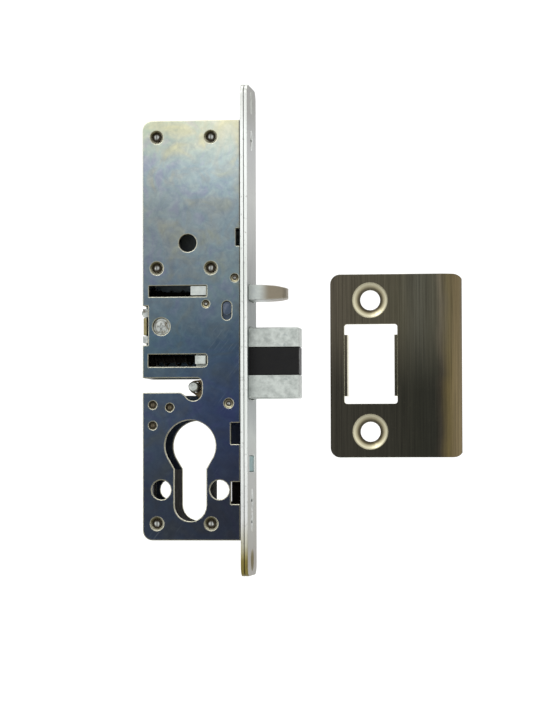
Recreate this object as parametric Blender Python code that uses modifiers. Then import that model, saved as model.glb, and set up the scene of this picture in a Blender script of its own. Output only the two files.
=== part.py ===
"""Narrow-stile mortise deadlatch with its strike plate. +Z runs up the faceplate, +X points out of its front,
+Y points away from the cover side of the case. The origin is the middle of the faceplate's front face.
Sizes below are in millimetres and are turned into metres where meshes are made."""

import math

import bmesh
import bpy
from mathutils import Matrix, Vector

MM = 0.001

# Faceplate and forend: 6 7/8 x 1 inch narrow-stile standard.
FACE_HEIGHT = 174.6
FACE_WIDTH = 25.4
FACE_CORNER = 4.0
PLATE_STOCK = 1.2
FOREND_FRONT = -1.35
FOREND_BACK = -2.55
MOUNT_HOLE_Z = 81.8
MOUNT_HOLE_R = 2.6
MOUNT_SINK_R = 4.2
CASE_SCREW_Z = 68.2

# Case: a pressed tray closed by a flat cover.
CASE_FRONT = -3.0
CASE_REAR = -37.8
CASE_HALF_HEIGHT = 74.6
CASE_HALF_THICK = 10.5
SHEET = 1.5
CASE_CORNER = 3.5
INNER_Y = CASE_HALF_THICK - SHEET
FIT = 0.15
WALL_REAR_IN = CASE_REAR + SHEET

# Openings in the case sides.
EURO_X = -20.8
EURO_Z = -41.1
EURO_R = 9.1
EURO_HALF_SLOT = 5.75
EURO_BOTTOM = -67.9
SIDE_HOLE_Z = -56.7
SIDE_HOLE_OFFSET = 10.4
SIDE_HOLE_R = 3.5
ROUND_HOLE = (-21.6, 30.9)
ROUND_HOLE_R = 3.25
TRIGGER_SLOT = (-35.6, -14.8, 11.8, 15.8)
LATCH_SLOT = (-35.8, -14.7, -13.1, -8.6)
GUIDE_SLOT_X = -7.6
GUIDE_SLOT_R = 1.73
GUIDE_SLOT_Z = (3.4, 10.2)
REAR_NOTCH_Z = (-5.4, 8.7)
REAR_NOTCH_DEPTH = 2.0
DRIVE_SLOT_Z = (-22.2, -17.0)

# Rivets that hold the two sides together.
RIVET_PLACES = {
    "case_rivet_top_rear": (-32.7, 68.7),
    "case_rivet_top_front": (-13.3, 68.7),
    "case_rivet_middle_rear": (-32.7, 22.0),
    "case_rivet_middle_front": (-13.3, 22.0),
    "case_rivet_bottom_rear": (-32.7, -68.7),
    "case_rivet_bottom_front": (-13.3, -68.7),
}
RIVET_BODY_R = 2.75
RIVET_END_R = 1.5
RIVET_SINK_R = 2.4

# Round pins across the case: place in X and Z, radius.
GUIDE_PINS = {
    "trigger_guide_pin_upper": (-4.8, 18.4, 1.35),
    "trigger_guide_pin_lower": (-15.1, 9.2, 1.25),
    "latch_guide_pin": (-7.0, -26.1, 1.55),
}

# Bolts.
BOLT_HALF_WIDTH = 8.0
LATCH_BOTTOM = -24.3
LATCH_TOP = 0.8
LATCH_TIP = 17.9
LATCH_TIP_FLAT = 9.4
LATCH_BEVEL_START = 8.6
LATCH_HEAD_REAR = -6.0
LATCH_TAIL_REAR = -19.2
LATCH_SPRING_Z = -10.0
INSERT_Z = (-16.0, -6.2)
TRIGGER_BOTTOM = 10.7
TRIGGER_TOP = 16.0
TRIGGER_TIP = 13.0
TRIGGER_SPRING_Y = 3.6
OPENING_GAP = 0.35

# Drive lever that a cylinder cam lifts and pushes; its pin rides in the slot that is open at the rear.
DRIVE_PIN = (-20.0, -20.1)
DRIVE_PIN_R = 1.75
LEVER_PIVOT = (-8.9, -19.2)
LEVER_PIVOT_R = 1.4
LEVER_HALF_THICK = 2.2

# Cylinder screw and its nut block.
CYLINDER_SCREW_Z = -60.5
SCREW_BLOCK_REAR = -6.7
SCREW_BLOCK_Z = (-65.2, -53.4)

# U-shaped guide between the case sides, round the lower part of the cylinder opening.
CYLINDER_GUIDE_GAP = 0.15
CYLINDER_GUIDE_STOCK = 1.0
CYLINDER_GUIDE_TOP = -49.5

# Window insert, anchor screw and bracket rivets
WINDOW = (-7.5, 7.5, -50.5, -44.5)
ANCHOR_SCREW = (-31.1, 1.25)
ANCHOR_RING_R = 3.15
BRACKET_RIVET_R = 1.35
BRACKET_RIVETS = {
    "bracket_rivet_rear": (-34.2, -26.6),
    "bracket_rivet_front": (-28.1, -27.5),
    "bracket_rivet_low": (-34.2, -33.9),
}

# Strike plate.
STRIKE_LEFT = 27.5
STRIKE_RIGHT = 74.5
STRIKE_BOTTOM = -45.4
STRIKE_TOP = 20.3
STRIKE_FACE_Y = 7.0
STRIKE_STOCK = 1.5
STRIKE_BACK_Y = 12.5
STRIKE_CORNER = 3.5
STRIKE_HOLE_X = 41.8
STRIKE_HOLE_Z = (11.0, -36.2)
STRIKE_HOLE_R = 3.6
STRIKE_SINK_R = 6.3
STRIKE_OPENING = (32.5, 51.6, -26.15, 2.35)
STRIKE_TAB_Z = (-23.4, -1.4)
LIP_START = 66.2

ARC_STEP = math.radians(15)
ROUND_STEPS = 16

FINISHES = {
    "zinc": ((0.50, 0.53, 0.58), 0.34, 1.0),
    "bright": ((0.78, 0.78, 0.76), 0.28, 1.0),
    "brushed": ((0.62, 0.61, 0.58), 0.36, 1.0),
    "cast": ((0.64, 0.65, 0.64), 0.48, 0.9),
    "bronzed": ((0.34, 0.31, 0.27), 0.33, 1.0),
    "brass": ((0.66, 0.50, 0.24), 0.38, 1.0),
    "brown": ((0.20, 0.15, 0.11), 0.45, 0.9),
    "spring": ((0.45, 0.45, 0.46), 0.30, 1.0),
    "black": ((0.012, 0.012, 0.014), 0.42, 0.0),
    "green": ((0.24, 0.34, 0.32), 0.45, 0.3),
}


def clear_scene():
    """Start from an empty scene."""
    for obj in list(bpy.data.objects):
        bpy.data.objects.remove(obj, do_unlink=True)


def make_collections():
    """One collection for the lock and one for the shapes that cut it."""
    parts = bpy.data.collections.new("mortise_lock")
    cutters = bpy.data.collections.new("cutters")
    bpy.context.scene.collection.children.link(parts)
    bpy.context.scene.collection.children.link(cutters)
    cutters.hide_render = True
    return parts, cutters


clear_scene()
PARTS, CUTTERS = make_collections()


def finish(obj, name):
    """Give an object its own Principled material."""
    colour, roughness, metallic = FINISHES[name]
    material = bpy.data.materials.new(f"{obj.name}_material")
    material.use_nodes = True
    shader = material.node_tree.nodes["Principled BSDF"]
    shader.inputs["Base Color"].default_value = (*colour, 1.0)
    shader.inputs["Roughness"].default_value = roughness
    shader.inputs["Metallic"].default_value = metallic
    material.diffuse_color = (*colour, 1.0)
    obj.data.materials.clear()
    obj.data.materials.append(material)


def arc(cx, cy, radius, start, end, step=ARC_STEP):
    """Points along an arc, angles in degrees."""
    a0, a1 = math.radians(start), math.radians(end)
    count = max(2, math.ceil(abs(a1 - a0) / step))
    turns = [a0 + (a1 - a0) * i / count for i in range(count + 1)]
    return [(cx + radius * math.cos(t), cy + radius * math.sin(t)) for t in turns]


def circle(cx, cy, radius, steps=ROUND_STEPS):
    """A closed ring of points."""
    turns = [2 * math.pi * i / steps for i in range(steps)]
    return [(cx + radius * math.cos(t), cy + radius * math.sin(t)) for t in turns]


def rectangle(x0, x1, y0, y1):
    """Four corners."""
    return [(x0, y0), (x1, y0), (x1, y1), (x0, y1)]


def rounded(x0, x1, y0, y1, low_left=0.0, low_right=0.0, up_right=0.0, up_left=0.0):
    """A rectangle with its own radius at each corner."""
    corners = (
        (x0, y0, low_left, 180, 1, 1),
        (x1, y0, low_right, 270, -1, 1),
        (x1, y1, up_right, 0, -1, -1),
        (x0, y1, up_left, 90, 1, -1),
    )
    points = []
    for x, y, radius, start, sx, sy in corners:
        if radius == 0:
            points.append((x, y))
        else:
            points += arc(x + sx * radius, y + sy * radius, radius, start, start + 90)
    return points


def upright_obround(cx, low, high, radius):
    """A slot outline with round ends, long way up."""
    return arc(cx, high - radius, radius, 0, 180) + arc(cx, low + radius, radius, 180, 360)


def euro_outline():
    """Keyhole outline for a Euro-profile cylinder."""
    shoulder = 35
    foot = EURO_BOTTOM + EURO_HALF_SLOT
    neck = EURO_Z - EURO_R + 0.9
    head = arc(EURO_X, EURO_Z, EURO_R, -shoulder, 180 + shoulder, math.radians(10))
    tail = arc(EURO_X, foot, EURO_HALF_SLOT, 180, 360)
    return [*head, (EURO_X - EURO_HALF_SLOT, neck), *tail, (EURO_X + EURO_HALF_SLOT, neck)]


def drive_slot_outline():
    """Slot open at the rear whose front end drops into a round pocket."""
    low, high = DRIVE_SLOT_Z
    far = CASE_REAR - 3
    right = -16.5
    corner = 2.0
    pocket_x, pocket_z, pocket_r = -19.7, -22.0, 3.2
    top = arc(right - corner, high - corner, corner, 90, 0)
    pocket = arc(pocket_x, pocket_z, pocket_r, 0, -155)
    return [(far, low), (far, high), *top, *pocket, (pocket_x - 4.6, low)]


def far_slot_outline():
    """Slot in the far wall: the drive pin ends inside the case, so this one needs no pocket."""
    low, high = DRIVE_SLOT_Z[0] - 0.7, DRIVE_SLOT_Z[1]
    rear = CASE_REAR - 3
    right = -16.5
    corner = 2.0
    top = arc(right - corner, high - corner, corner, 90, 0)
    bottom = arc(right - corner, low + corner, corner, 0, -90)
    return [(rear, low), (rear, high), *top, *bottom]


TURNS = {
    "XZ": Matrix.Rotation(math.radians(90), 4, "X"),
    "XY": Matrix.Identity(4),
    "YZ": Matrix.Rotation(math.radians(90), 4, "Z") @ Matrix.Rotation(math.radians(90), 4, "X"),
}
NORMALS = {"XZ": Vector((0, 1, 0)), "XY": Vector((0, 0, 1)), "YZ": Vector((1, 0, 0))}


def welded(source, name, collection, distance=1e-6):
    """Turn a curve into a welded mesh object in the same place."""
    bpy.context.view_layer.update()
    graph = bpy.context.evaluated_depsgraph_get()
    mesh = bpy.data.meshes.new_from_object(source.evaluated_get(graph))
    place = source.matrix_world.copy()
    bpy.data.objects.remove(source, do_unlink=True)
    weld = bmesh.new()
    weld.from_mesh(mesh)
    bmesh.ops.remove_doubles(weld, verts=weld.verts, dist=distance)
    bmesh.ops.recalc_face_normals(weld, faces=weld.faces)
    weld.to_mesh(mesh)
    weld.free()
    obj = bpy.data.objects.new(name, mesh)
    obj.matrix_world = place
    collection.objects.link(obj)
    return obj


def prism(name, plane, outline, low, high, holes=(), collection=None):
    """A flat outline given a thickness from low to high along the plane's normal."""
    curve = bpy.data.curves.new(name, "CURVE")
    curve.dimensions = "2D"
    curve.fill_mode = "BOTH"
    curve.extrude = (high - low) / 2 * MM
    for loop in (outline, *holes):
        spline = curve.splines.new("POLY")
        spline.points.add(len(loop) - 1)
        for point, (x, y) in zip(spline.points, loop):
            point.co = (x * MM, y * MM, 0, 1)
        spline.use_cyclic_u = True
    source = bpy.data.objects.new(name + "_outline", curve)
    collection = collection or PARTS
    collection.objects.link(source)
    middle = NORMALS[plane] * (low + high) / 2 * MM
    source.matrix_world = Matrix.Translation(middle) @ TURNS[plane]
    return welded(source, name, collection)


def turned(name, profile, place, along, steps=ROUND_STEPS, collection=None):
    """A round piece from (radius, height) pairs, its top towards -Y or +X."""
    mesh = bpy.data.meshes.new(name)
    points = [(radius * MM, 0, height * MM) for radius, height in profile]
    edges = [(i, i + 1) for i in range(len(points) - 1)]
    mesh.from_pydata(points, edges, [])
    obj = bpy.data.objects.new(name, mesh)
    (collection or PARTS).objects.link(obj)
    turn = {"-Y": ("X", 90), "+X": ("Y", 90)}[along]
    obj.matrix_world = Matrix.Translation(Vector(place) * MM) @ Matrix.Rotation(
        math.radians(turn[1]), 4, turn[0]
    )
    screw = obj.modifiers.new("turn", "SCREW")
    screw.axis = "Z"
    screw.steps = steps
    screw.render_steps = steps
    screw.use_merge_vertices = True
    screw.merge_threshold = 1e-6
    screw.use_smooth_shade = True
    return obj


def box_cutter(name, x, y, z):
    """A plain box used to cut or add, from its low and high value on each axis."""
    mesh = bpy.data.meshes.new(name)
    shape = bmesh.new()
    bmesh.ops.create_cube(shape, size=1.0)
    size = [(pair[1] - pair[0]) * MM for pair in (x, y, z)]
    centre = [(pair[1] + pair[0]) / 2 * MM for pair in (x, y, z)]
    bmesh.ops.scale(shape, vec=size, verts=shape.verts)
    shape.to_mesh(mesh)
    shape.free()
    obj = bpy.data.objects.new(name, mesh)
    obj.location = centre
    CUTTERS.objects.link(obj)
    return obj


def combine(obj, other, operation="DIFFERENCE"):
    """Cut, add or keep what is shared with another mesh."""
    other.display_type = "WIRE"
    other.hide_render = True
    step = obj.modifiers.new(other.name, "BOOLEAN")
    step.operation = operation
    step.solver = "EXACT"
    step.object = other


def soften(obj, width, segments=1, angle=40):
    """Round every sharp edge a little."""
    bevel = obj.modifiers.new("edges", "BEVEL")
    bevel.width = width * MM
    bevel.segments = segments
    bevel.limit_method = "ANGLE"
    bevel.angle_limit = math.radians(angle)


def cross_recess(name, place, along, reach, depth):
    """Two crossed bars for a cross-head screw."""
    blade = reach * 0.24
    x, y, z = place
    bars = []
    for index, (tall, wide) in enumerate(((reach, blade), (blade, reach))):
        if along == "+X":
            spans = (x - depth, x + 1), (y - wide / 2, y + wide / 2), (z - tall / 2, z + tall / 2)
        else:
            spans = (x - wide / 2, x + wide / 2), (y - 1, y + depth), (z - tall / 2, z + tall / 2)
        bars.append(box_cutter(f"{name}_recess_{index}", *spans))
    return bars


def shade_round(obj):
    """Smooth shading with crisp edges."""
    obj.data.shade_smooth()
    obj.data.set_sharp_from_angle(angle=math.radians(35))


def side_outline(rear_radius):
    """Outline of a case side, front corners square."""
    return rounded(
        CASE_REAR,
        CASE_FRONT,
        -CASE_HALF_HEIGHT,
        CASE_HALF_HEIGHT,
        low_left=rear_radius,
        up_left=rear_radius,
    )


def sink_cutter(name, x, z, near):
    """Countersink and clearance for one rivet end, on the cover side or the far side."""
    outer = CASE_HALF_THICK
    shank = RIVET_END_R + FIT
    profile = [
        (0, outer + 1),
        (RIVET_SINK_R, outer + 1),
        (RIVET_SINK_R, outer - 0.25),
        (shank, outer - 1.0),
        (shank, INNER_Y - 1),
        (0, INNER_Y - 1),
    ]
    if not near:
        profile = [(radius, -height) for radius, height in reversed(profile)]
    return turned(name, profile, (x, 0, z), "-Y", collection=CUTTERS)


def pin_loops(gap):
    """Clearance rings round the guide pins."""
    return [circle(x, z, radius + gap, 16) for x, z, radius in GUIDE_PINS.values()]


def build_cover_plate():
    """Flat cover on the near side, with every opening seen there."""
    holes = [
        euro_outline(),
        circle(EURO_X - SIDE_HOLE_OFFSET, SIDE_HOLE_Z, SIDE_HOLE_R),
        circle(EURO_X + SIDE_HOLE_OFFSET, SIDE_HOLE_Z, SIDE_HOLE_R),
        circle(*ROUND_HOLE, ROUND_HOLE_R),
        rectangle(*TRIGGER_SLOT),
        rounded(*LATCH_SLOT, low_right=1.2, up_right=0.8),
        upright_obround(GUIDE_SLOT_X, *GUIDE_SLOT_Z, GUIDE_SLOT_R),
    ]
    cover = prism("cover_plate", "XZ", side_outline(CASE_CORNER), -CASE_HALF_THICK, -INNER_Y, holes)
    cuts = [
        prism("cover_drive_slot", "XZ", drive_slot_outline(), -12, -7, collection=CUTTERS),
        box_cutter(
            "cover_rear_notch",
            (CASE_REAR - 1, CASE_REAR + REAR_NOTCH_DEPTH),
            (-12, -7),
            REAR_NOTCH_Z,
        ),
        box_cutter("cover_front_notch_top", (-4.4, -2), (-12, -7), (29.7, 36.0)),
        box_cutter("cover_front_notch_middle", (-6.3, -2), (-12, -7), (-40.6, -33.0)),
        box_cutter("cover_front_notch_low", (-6.3, -2), (-12, -7), (-61.8, -53.9)),
    ]
    for cut in cuts:
        combine(cover, cut)
    soften(cover, 0.22)
    for name, (x, z) in RIVET_PLACES.items():
        combine(cover, sink_cutter(f"{name}_near_sink", x, z, near=True))
    small = [circle(*ANCHOR_SCREW, ANCHOR_RING_R), *pin_loops(FIT)]
    small += [circle(x, z, BRACKET_RIVET_R + FIT, 14) for x, z in BRACKET_RIVETS.values()]
    for index, loop in enumerate(small):
        combine(cover, prism(f"cover_small_hole_{index}", "XZ", loop, -12, -7, collection=CUTTERS))
    finish(cover, "zinc")


def build_case_body():
    """Pressed tray: far side with top, bottom and rear walls, open at the front."""
    tray = prism("case_body", "XZ", side_outline(CASE_CORNER), -INNER_Y + FIT, CASE_HALF_THICK)
    inside = rounded(
        WALL_REAR_IN,
        CASE_FRONT + 3,
        SHEET - CASE_HALF_HEIGHT,
        CASE_HALF_HEIGHT - SHEET,
        low_left=2.0,
        up_left=2.0,
    )
    far = (INNER_Y - 1, CASE_HALF_THICK + 1)
    cuts = [
        prism("tray_inside", "XZ", inside, -INNER_Y - 3, INNER_Y, collection=CUTTERS),
        prism("tray_drive_slot", "XZ", far_slot_outline(), -INNER_Y - 3, far[1], collection=CUTTERS),
        box_cutter(
            "tray_rear_notch", (CASE_REAR - 1, WALL_REAR_IN + 1), (-INNER_Y - 3, -3), REAR_NOTCH_Z
        ),
        box_cutter(
            "tray_lever_window",
            (CASE_REAR - 1, WALL_REAR_IN + 1),
            (-INNER_Y - 3, INNER_Y - 0.1),
            (-25.6, DRIVE_SLOT_Z[1]),
        ),
        prism("tray_euro", "XZ", euro_outline(), *far, collection=CUTTERS),
        prism(
            "tray_side_hole",
            "XZ",
            circle(EURO_X - SIDE_HOLE_OFFSET, SIDE_HOLE_Z, SIDE_HOLE_R),
            *far,
            collection=CUTTERS,
        ),
        box_cutter("tray_side_window", (-14.9, -6.0), far, (-61.0, -52.4)),
    ]
    for cut in cuts:
        combine(tray, cut)
    soften(tray, 0.3)
    for index, loop in enumerate(pin_loops(FIT)):
        combine(tray, prism(f"tray_pin_{index}", "XZ", loop, *far, collection=CUTTERS))
    for name, (x, z) in RIVET_PLACES.items():
        combine(tray, sink_cutter(f"{name}_far_sink", x, z, near=False))
    finish(tray, "zinc")


def build_case_rivets():
    """Six shouldered rivets that space the two sides and are peened over at both ends."""
    end = CASE_HALF_THICK - 0.1
    shoulder = INNER_Y - FIT
    half = [(0, end), (RIVET_END_R * 0.7, end), (RIVET_END_R, end - 0.35), (RIVET_END_R, shoulder)]
    upper = [*half, (RIVET_BODY_R, shoulder)]
    lower = [(radius, -height) for radius, height in reversed(upper)]
    for name, (x, z) in RIVET_PLACES.items():
        rivet = turned(name, upper + lower, (x, 0, z), "-Y")
        finish(rivet, "bright")


def build_guide_pins():
    """Plain pins that keep the bolts level."""
    end = CASE_HALF_THICK - 0.15
    for name, (x, z, radius) in GUIDE_PINS.items():
        side = [(0, end), (radius * 0.7, end), (radius, end - 0.3)]
        profile = side + [(r, -h) for r, h in reversed(side)]
        pin = turned(name, profile, (x, 0, z), "-Y", 16)
        finish(pin, "bright")


def face_outline():
    """Outline shared by forend and faceplate, Y across and Z up."""
    y, z, r = FACE_WIDTH / 2, FACE_HEIGHT / 2, FACE_CORNER
    return rounded(-y, y, -z, z, r, r, r, r)


def bolt_openings(gap):
    """Openings for the latch bolt and the trigger."""
    y = BOLT_HALF_WIDTH + gap
    return [
        rectangle(-y, y, LATCH_BOTTOM - gap, LATCH_TOP + gap),
        rectangle(-y, y, TRIGGER_BOTTOM - gap, TRIGGER_TOP + gap),
    ]


def sunk_hole(name, z, shank, sink, depth):
    """Cutter for a countersunk hole in the faceplate's front."""
    profile = [(0, 1), (sink, 1), (sink, 0), (shank, -depth), (shank, -5), (0, -5)]
    return turned(name, profile, (0, 0, z), "+X", collection=CUTTERS)


def build_forend():
    """Inner strip behind the faceplate."""
    holes = bolt_openings(OPENING_GAP)
    holes += [circle(0, z, MOUNT_HOLE_R) for z in (-MOUNT_HOLE_Z, MOUNT_HOLE_Z)]
    holes += [circle(0, z, 2.4) for z in (-CASE_SCREW_Z, CASE_SCREW_Z)]
    holes += [circle(0, CYLINDER_SCREW_Z, 2.8), rectangle(*WINDOW)]
    forend = prism("forend", "YZ", face_outline(), FOREND_BACK, FOREND_FRONT, holes)
    soften(forend, 0.15)
    finish(forend, "zinc")


def build_faceplate():
    """Brushed outer plate with countersunk holes."""
    holes = [*bolt_openings(OPENING_GAP), rectangle(*WINDOW)]
    plate = prism("faceplate", "YZ", face_outline(), -PLATE_STOCK, 0, holes)
    soften(plate, 0.15)
    for index, z in enumerate((-MOUNT_HOLE_Z, MOUNT_HOLE_Z)):
        combine(plate, sunk_hole(f"mount_sink_{index}", z, MOUNT_HOLE_R, MOUNT_SINK_R, PLATE_STOCK - 0.2))
    for index, z in enumerate((-CASE_SCREW_Z, CASE_SCREW_Z)):
        combine(plate, sunk_hole(f"screw_sink_{index}", z, 2.4, 3.7, PLATE_STOCK - 0.1))
    combine(plate, sunk_hole("cylinder_screw_sink", CYLINDER_SCREW_Z, 2.8, 4.2, PLATE_STOCK - 0.1))
    finish(plate, "brushed")


def build_front_block(name, z_low, z_high):
    """Steel block between the case sides that takes a faceplate screw."""
    block = box_cutter(name, (-9.8, CASE_FRONT + 0.2), (-INNER_Y + FIT, INNER_Y - FIT), (z_low, z_high))
    CUTTERS.objects.unlink(block)
    PARTS.objects.link(block)
    soften(block, 0.4)
    z = math.copysign(CASE_SCREW_Z, z_low)
    bore = [(0, 3), (2.3, 3), (2.3, -12), (0, -12)]
    combine(block, turned(f"{name}_bore", bore, (0, 0, z), "+X", collection=CUTTERS))
    finish(block, "bright")


def flat_head_screw(name, z, head_r, shank_r, length, colour):
    """Cross-head countersunk screw in the faceplate."""
    head = PLATE_STOCK - 0.2
    front = -0.12
    profile = [
        (0, front),
        (head_r, front),
        (head_r, front - 0.15),
        (shank_r, front - head),
        (shank_r, 0.5 - length),
        (shank_r - 0.5, -length),
        (0, -length),
    ]
    screw = turned(name, profile, (0, 0, z), "+X")
    for bar in cross_recess(name, (front, 0, z), "+X", head_r * 1.25, 0.7):
        combine(screw, bar)
    finish(screw, colour)


def build_screw_block():
    """Nut block behind the faceplate for the cylinder screw."""
    block = box_cutter("cylinder_screw_block", (SCREW_BLOCK_REAR, CASE_FRONT + 0.2), (-5, 5), SCREW_BLOCK_Z)
    CUTTERS.objects.unlink(block)
    PARTS.objects.link(block)
    soften(block, 0.3)
    bore = [(0, 3), (2.7, 3), (2.7, -9), (0, -9)]
    cut = turned("screw_block_bore", bore, (0, 0, CYLINDER_SCREW_Z), "+X", collection=CUTTERS)
    combine(block, cut)
    finish(block, "brown")


def build_cylinder_guide():
    """U-shaped sheet guide that keeps the cylinder square in the case."""
    foot = EURO_BOTTOM + EURO_HALF_SLOT
    inner_r = EURO_HALF_SLOT + CYLINDER_GUIDE_GAP
    outer_r = inner_r + CYLINDER_GUIDE_STOCK
    outer = arc(EURO_X, foot, outer_r, 180, 360)
    inner = arc(EURO_X, foot, inner_r, 360, 180)
    outline = [
        (EURO_X - outer_r, CYLINDER_GUIDE_TOP),
        *outer,
        (EURO_X + outer_r, CYLINDER_GUIDE_TOP),
        (EURO_X + inner_r, CYLINDER_GUIDE_TOP),
        *inner,
        (EURO_X - inner_r, CYLINDER_GUIDE_TOP),
    ]
    reach = INNER_Y - FIT
    guide = prism("cylinder_guide", "XZ", outline, -reach + FIT, reach)
    finish(guide, "brown")


def build_window_insert():
    """Small insert that closes the window in the front, its face set back."""
    low_y, high_y, low_z, high_z = WINDOW
    flange = box_cutter(
        "window_insert", (-5.0, CASE_FRONT + 0.1), (low_y - 1, high_y + 1), (low_z - 1, high_z + 1)
    )
    CUTTERS.objects.unlink(flange)
    PARTS.objects.link(flange)
    pad = box_cutter(
        "window_insert_pad",
        (-4, -0.5),
        (low_y + 0.2, high_y - 0.2),
        (low_z + 0.2, high_z - 0.2),
    )
    combine(flange, pad, "UNION")
    soften(flange, 0.15)
    finish(flange, "green")


def latch_plan(grow=0.0):
    """Plan of the latch bolt: flat on the cover side, bevelled on the far side."""
    y = BOLT_HALF_WIDTH + grow
    return [
        (LATCH_HEAD_REAR, -y),
        (LATCH_TIP, -y),
        (LATCH_TIP, LATCH_TIP_FLAT - y),
        (LATCH_BEVEL_START, y),
        (LATCH_HEAD_REAR, y),
    ]


def build_latch_bolt():
    """Cast bolt head with its tail, the tab that shows in the side slot and two ears for the drive lever."""
    bolt = prism("latch_bolt", "XY", latch_plan(), LATCH_BOTTOM, LATCH_TOP)
    soften(bolt, 0.4)
    tail_half = 5.1
    tail = (LATCH_TAIL_REAR, LATCH_HEAD_REAR + 2)
    z = LATCH_SPRING_Z
    adds = [
        box_cutter("latch_tail", tail, (-6.2, 6.2), (z - tail_half, z + tail_half)),
        box_cutter("latch_tail_tab", (-19.0, -15.3), (-CASE_HALF_THICK + 0.25, -4), (-12.05, -9.15)),
    ]
    ears = [(LEVER_PIVOT[0] - 3.1, LEVER_PIVOT[1] - 3.1), (LEVER_PIVOT[0] - 3.1, -14)]
    ears += [(LATCH_HEAD_REAR + 1, -14), (LATCH_HEAD_REAR + 1, LEVER_PIVOT[1] - 3.1)]
    for side in (-1, 1):
        low, high = sorted((side * (LEVER_HALF_THICK + 0.3), side * (LEVER_HALF_THICK + 2.4)))
        adds.append(prism(f"latch_ear_{side + 1}", "XZ", ears, low, high, collection=CUTTERS))
    for add in adds:
        combine(bolt, add, "UNION")
    channel = (INSERT_Z[0] - FIT, INSERT_Z[1] + FIT)
    combine(bolt, box_cutter("insert_channel", (-1.15, LATCH_TIP + 2), (-10, 10), channel))
    bore = [(0, -3), (3.2, -3), (3.2, -30), (0, -30)]
    combine(bolt, turned("latch_spring_bore", bore, (0, 0, z), "+X", collection=CUTTERS))
    reach = LEVER_HALF_THICK + 3.0
    radius = LEVER_PIVOT_R + FIT
    hole = [(0, reach), (radius, reach), (radius, -reach), (0, -reach)]
    pivot = (LEVER_PIVOT[0], 0, LEVER_PIVOT[1])
    combine(bolt, turned("lever_pivot_bore", hole, pivot, "-Y", 16, collection=CUTTERS))
    finish(bolt, "cast")
    return bolt


def build_latch_insert():
    """Black wear pad through the nose of the latch bolt."""
    y = BOLT_HALF_WIDTH - 0.05
    plan = [
        (-1.0, -y),
        (LATCH_TIP - 0.1, -y),
        (LATCH_TIP - 0.1, LATCH_TIP_FLAT - BOLT_HALF_WIDTH - 0.05),
        (LATCH_BEVEL_START - 0.07, y),
        (-1.0, y),
    ]
    insert = prism("latch_insert", "XY", plan, *INSERT_Z)
    soften(insert, 0.25)
    finish(insert, "black")
    return insert


def trigger_plan():
    """Plan of the trigger: parallel sides, then a bullet nose to a narrow tip."""
    y = BOLT_HALF_WIDTH
    rear = -14.0
    straight = 5.2
    tip_half = 1.85
    nose = []
    steps = 7
    for i in range(steps + 1):
        t = math.radians(90) * i / steps
        nose.append((straight + (TRIGGER_TIP - straight) * math.sin(t), tip_half + (y - tip_half) * math.cos(t)))
    right = [(x, -w) for x, w in nose]
    left = [(x, w) for x, w in reversed(nose)]
    return [(rear, -y), *right, *left, (rear, y)]


def build_trigger_bolt():
    """Flat deadlocking trigger with its tail and the tab that shows in the upper side slot."""
    bolt = prism("trigger_bolt", "XY", trigger_plan(), TRIGGER_BOTTOM, TRIGGER_TOP)
    dome = [
        (-16, TRIGGER_BOTTOM - 1),
        (4.6, TRIGGER_BOTTOM - 1),
        (4.6, TRIGGER_BOTTOM),
        (9.5, TRIGGER_BOTTOM + 0.2),
        (TRIGGER_TIP + 0.2, TRIGGER_BOTTOM + 0.65),
        (TRIGGER_TIP + 0.2, TRIGGER_TOP - 1.0),
        (9.5, TRIGGER_TOP - 0.35),
        (4.6, TRIGGER_TOP),
        (4.6, TRIGGER_TOP + 1),
        (-16, TRIGGER_TOP + 1),
    ]
    combine(bolt, prism("trigger_dome", "XZ", dome, -10, 10, collection=CUTTERS), "INTERSECT")
    soften(bolt, 0.25, angle=50)
    adds = [
        box_cutter("trigger_tail", (-20.6, -12), (-8.4, -3.0), (12.35, 15.55)),
        box_cutter("trigger_tail_tab", (-20.6, -15.1), (-CASE_HALF_THICK + 0.25, -5), (12.35, 15.55)),
    ]
    for add in adds:
        combine(bolt, add, "UNION")
    middle = (TRIGGER_BOTTOM + TRIGGER_TOP) / 2
    bore = [(0, -1), (2.1, -1), (2.1, -20), (0, -20)]
    cut = turned("trigger_spring_bore", bore, (0, TRIGGER_SPRING_Y, middle), "+X", collection=CUTTERS)
    combine(bolt, cut)
    finish(bolt, "cast")
    return bolt


def coil(name, front, rear, y, z, radius, wire, turns, per_turn):
    """Compression spring lying along X, its wire ends cut square."""
    curve = bpy.data.curves.new(name, "CURVE")
    curve.dimensions = "3D"
    curve.bevel_depth = wire / 2 * MM
    curve.bevel_resolution = 2
    curve.use_fill_caps = True
    spline = curve.splines.new("POLY")
    count = turns * per_turn
    spline.points.add(count)
    length = front - rear - wire
    for i, point in enumerate(spline.points):
        turn = 2 * math.pi * i / per_turn
        share = i / count
        x = rear + wire / 2 + length * share
        point.co = (x * MM, (y + radius * math.cos(turn)) * MM, (z + radius * math.sin(turn)) * MM, 1)
    obj = bpy.data.objects.new(name, curve)
    PARTS.objects.link(obj)
    finish(obj, "spring")
    return obj


def build_latch_spring():
    """Spring that pushes the latch bolt out, and the flanged rod inside it."""
    z = LATCH_SPRING_Z
    coil("latch_spring", -3.3, -35.3, 0, z, 2.3, 0.8, 9, 9)
    seat = WALL_REAR_IN + 0.2
    profile = [
        (0, -20.6),
        (0.9, -20.6),
        (1.3, -21.0),
        (1.3, seat + 0.7),
        (2.8, seat + 0.7),
        (2.8, seat),
        (0, seat),
    ]
    rod = turned("latch_spring_rod", profile, (0, 0, z), "+X", 16)
    finish(rod, "bright")


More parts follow.
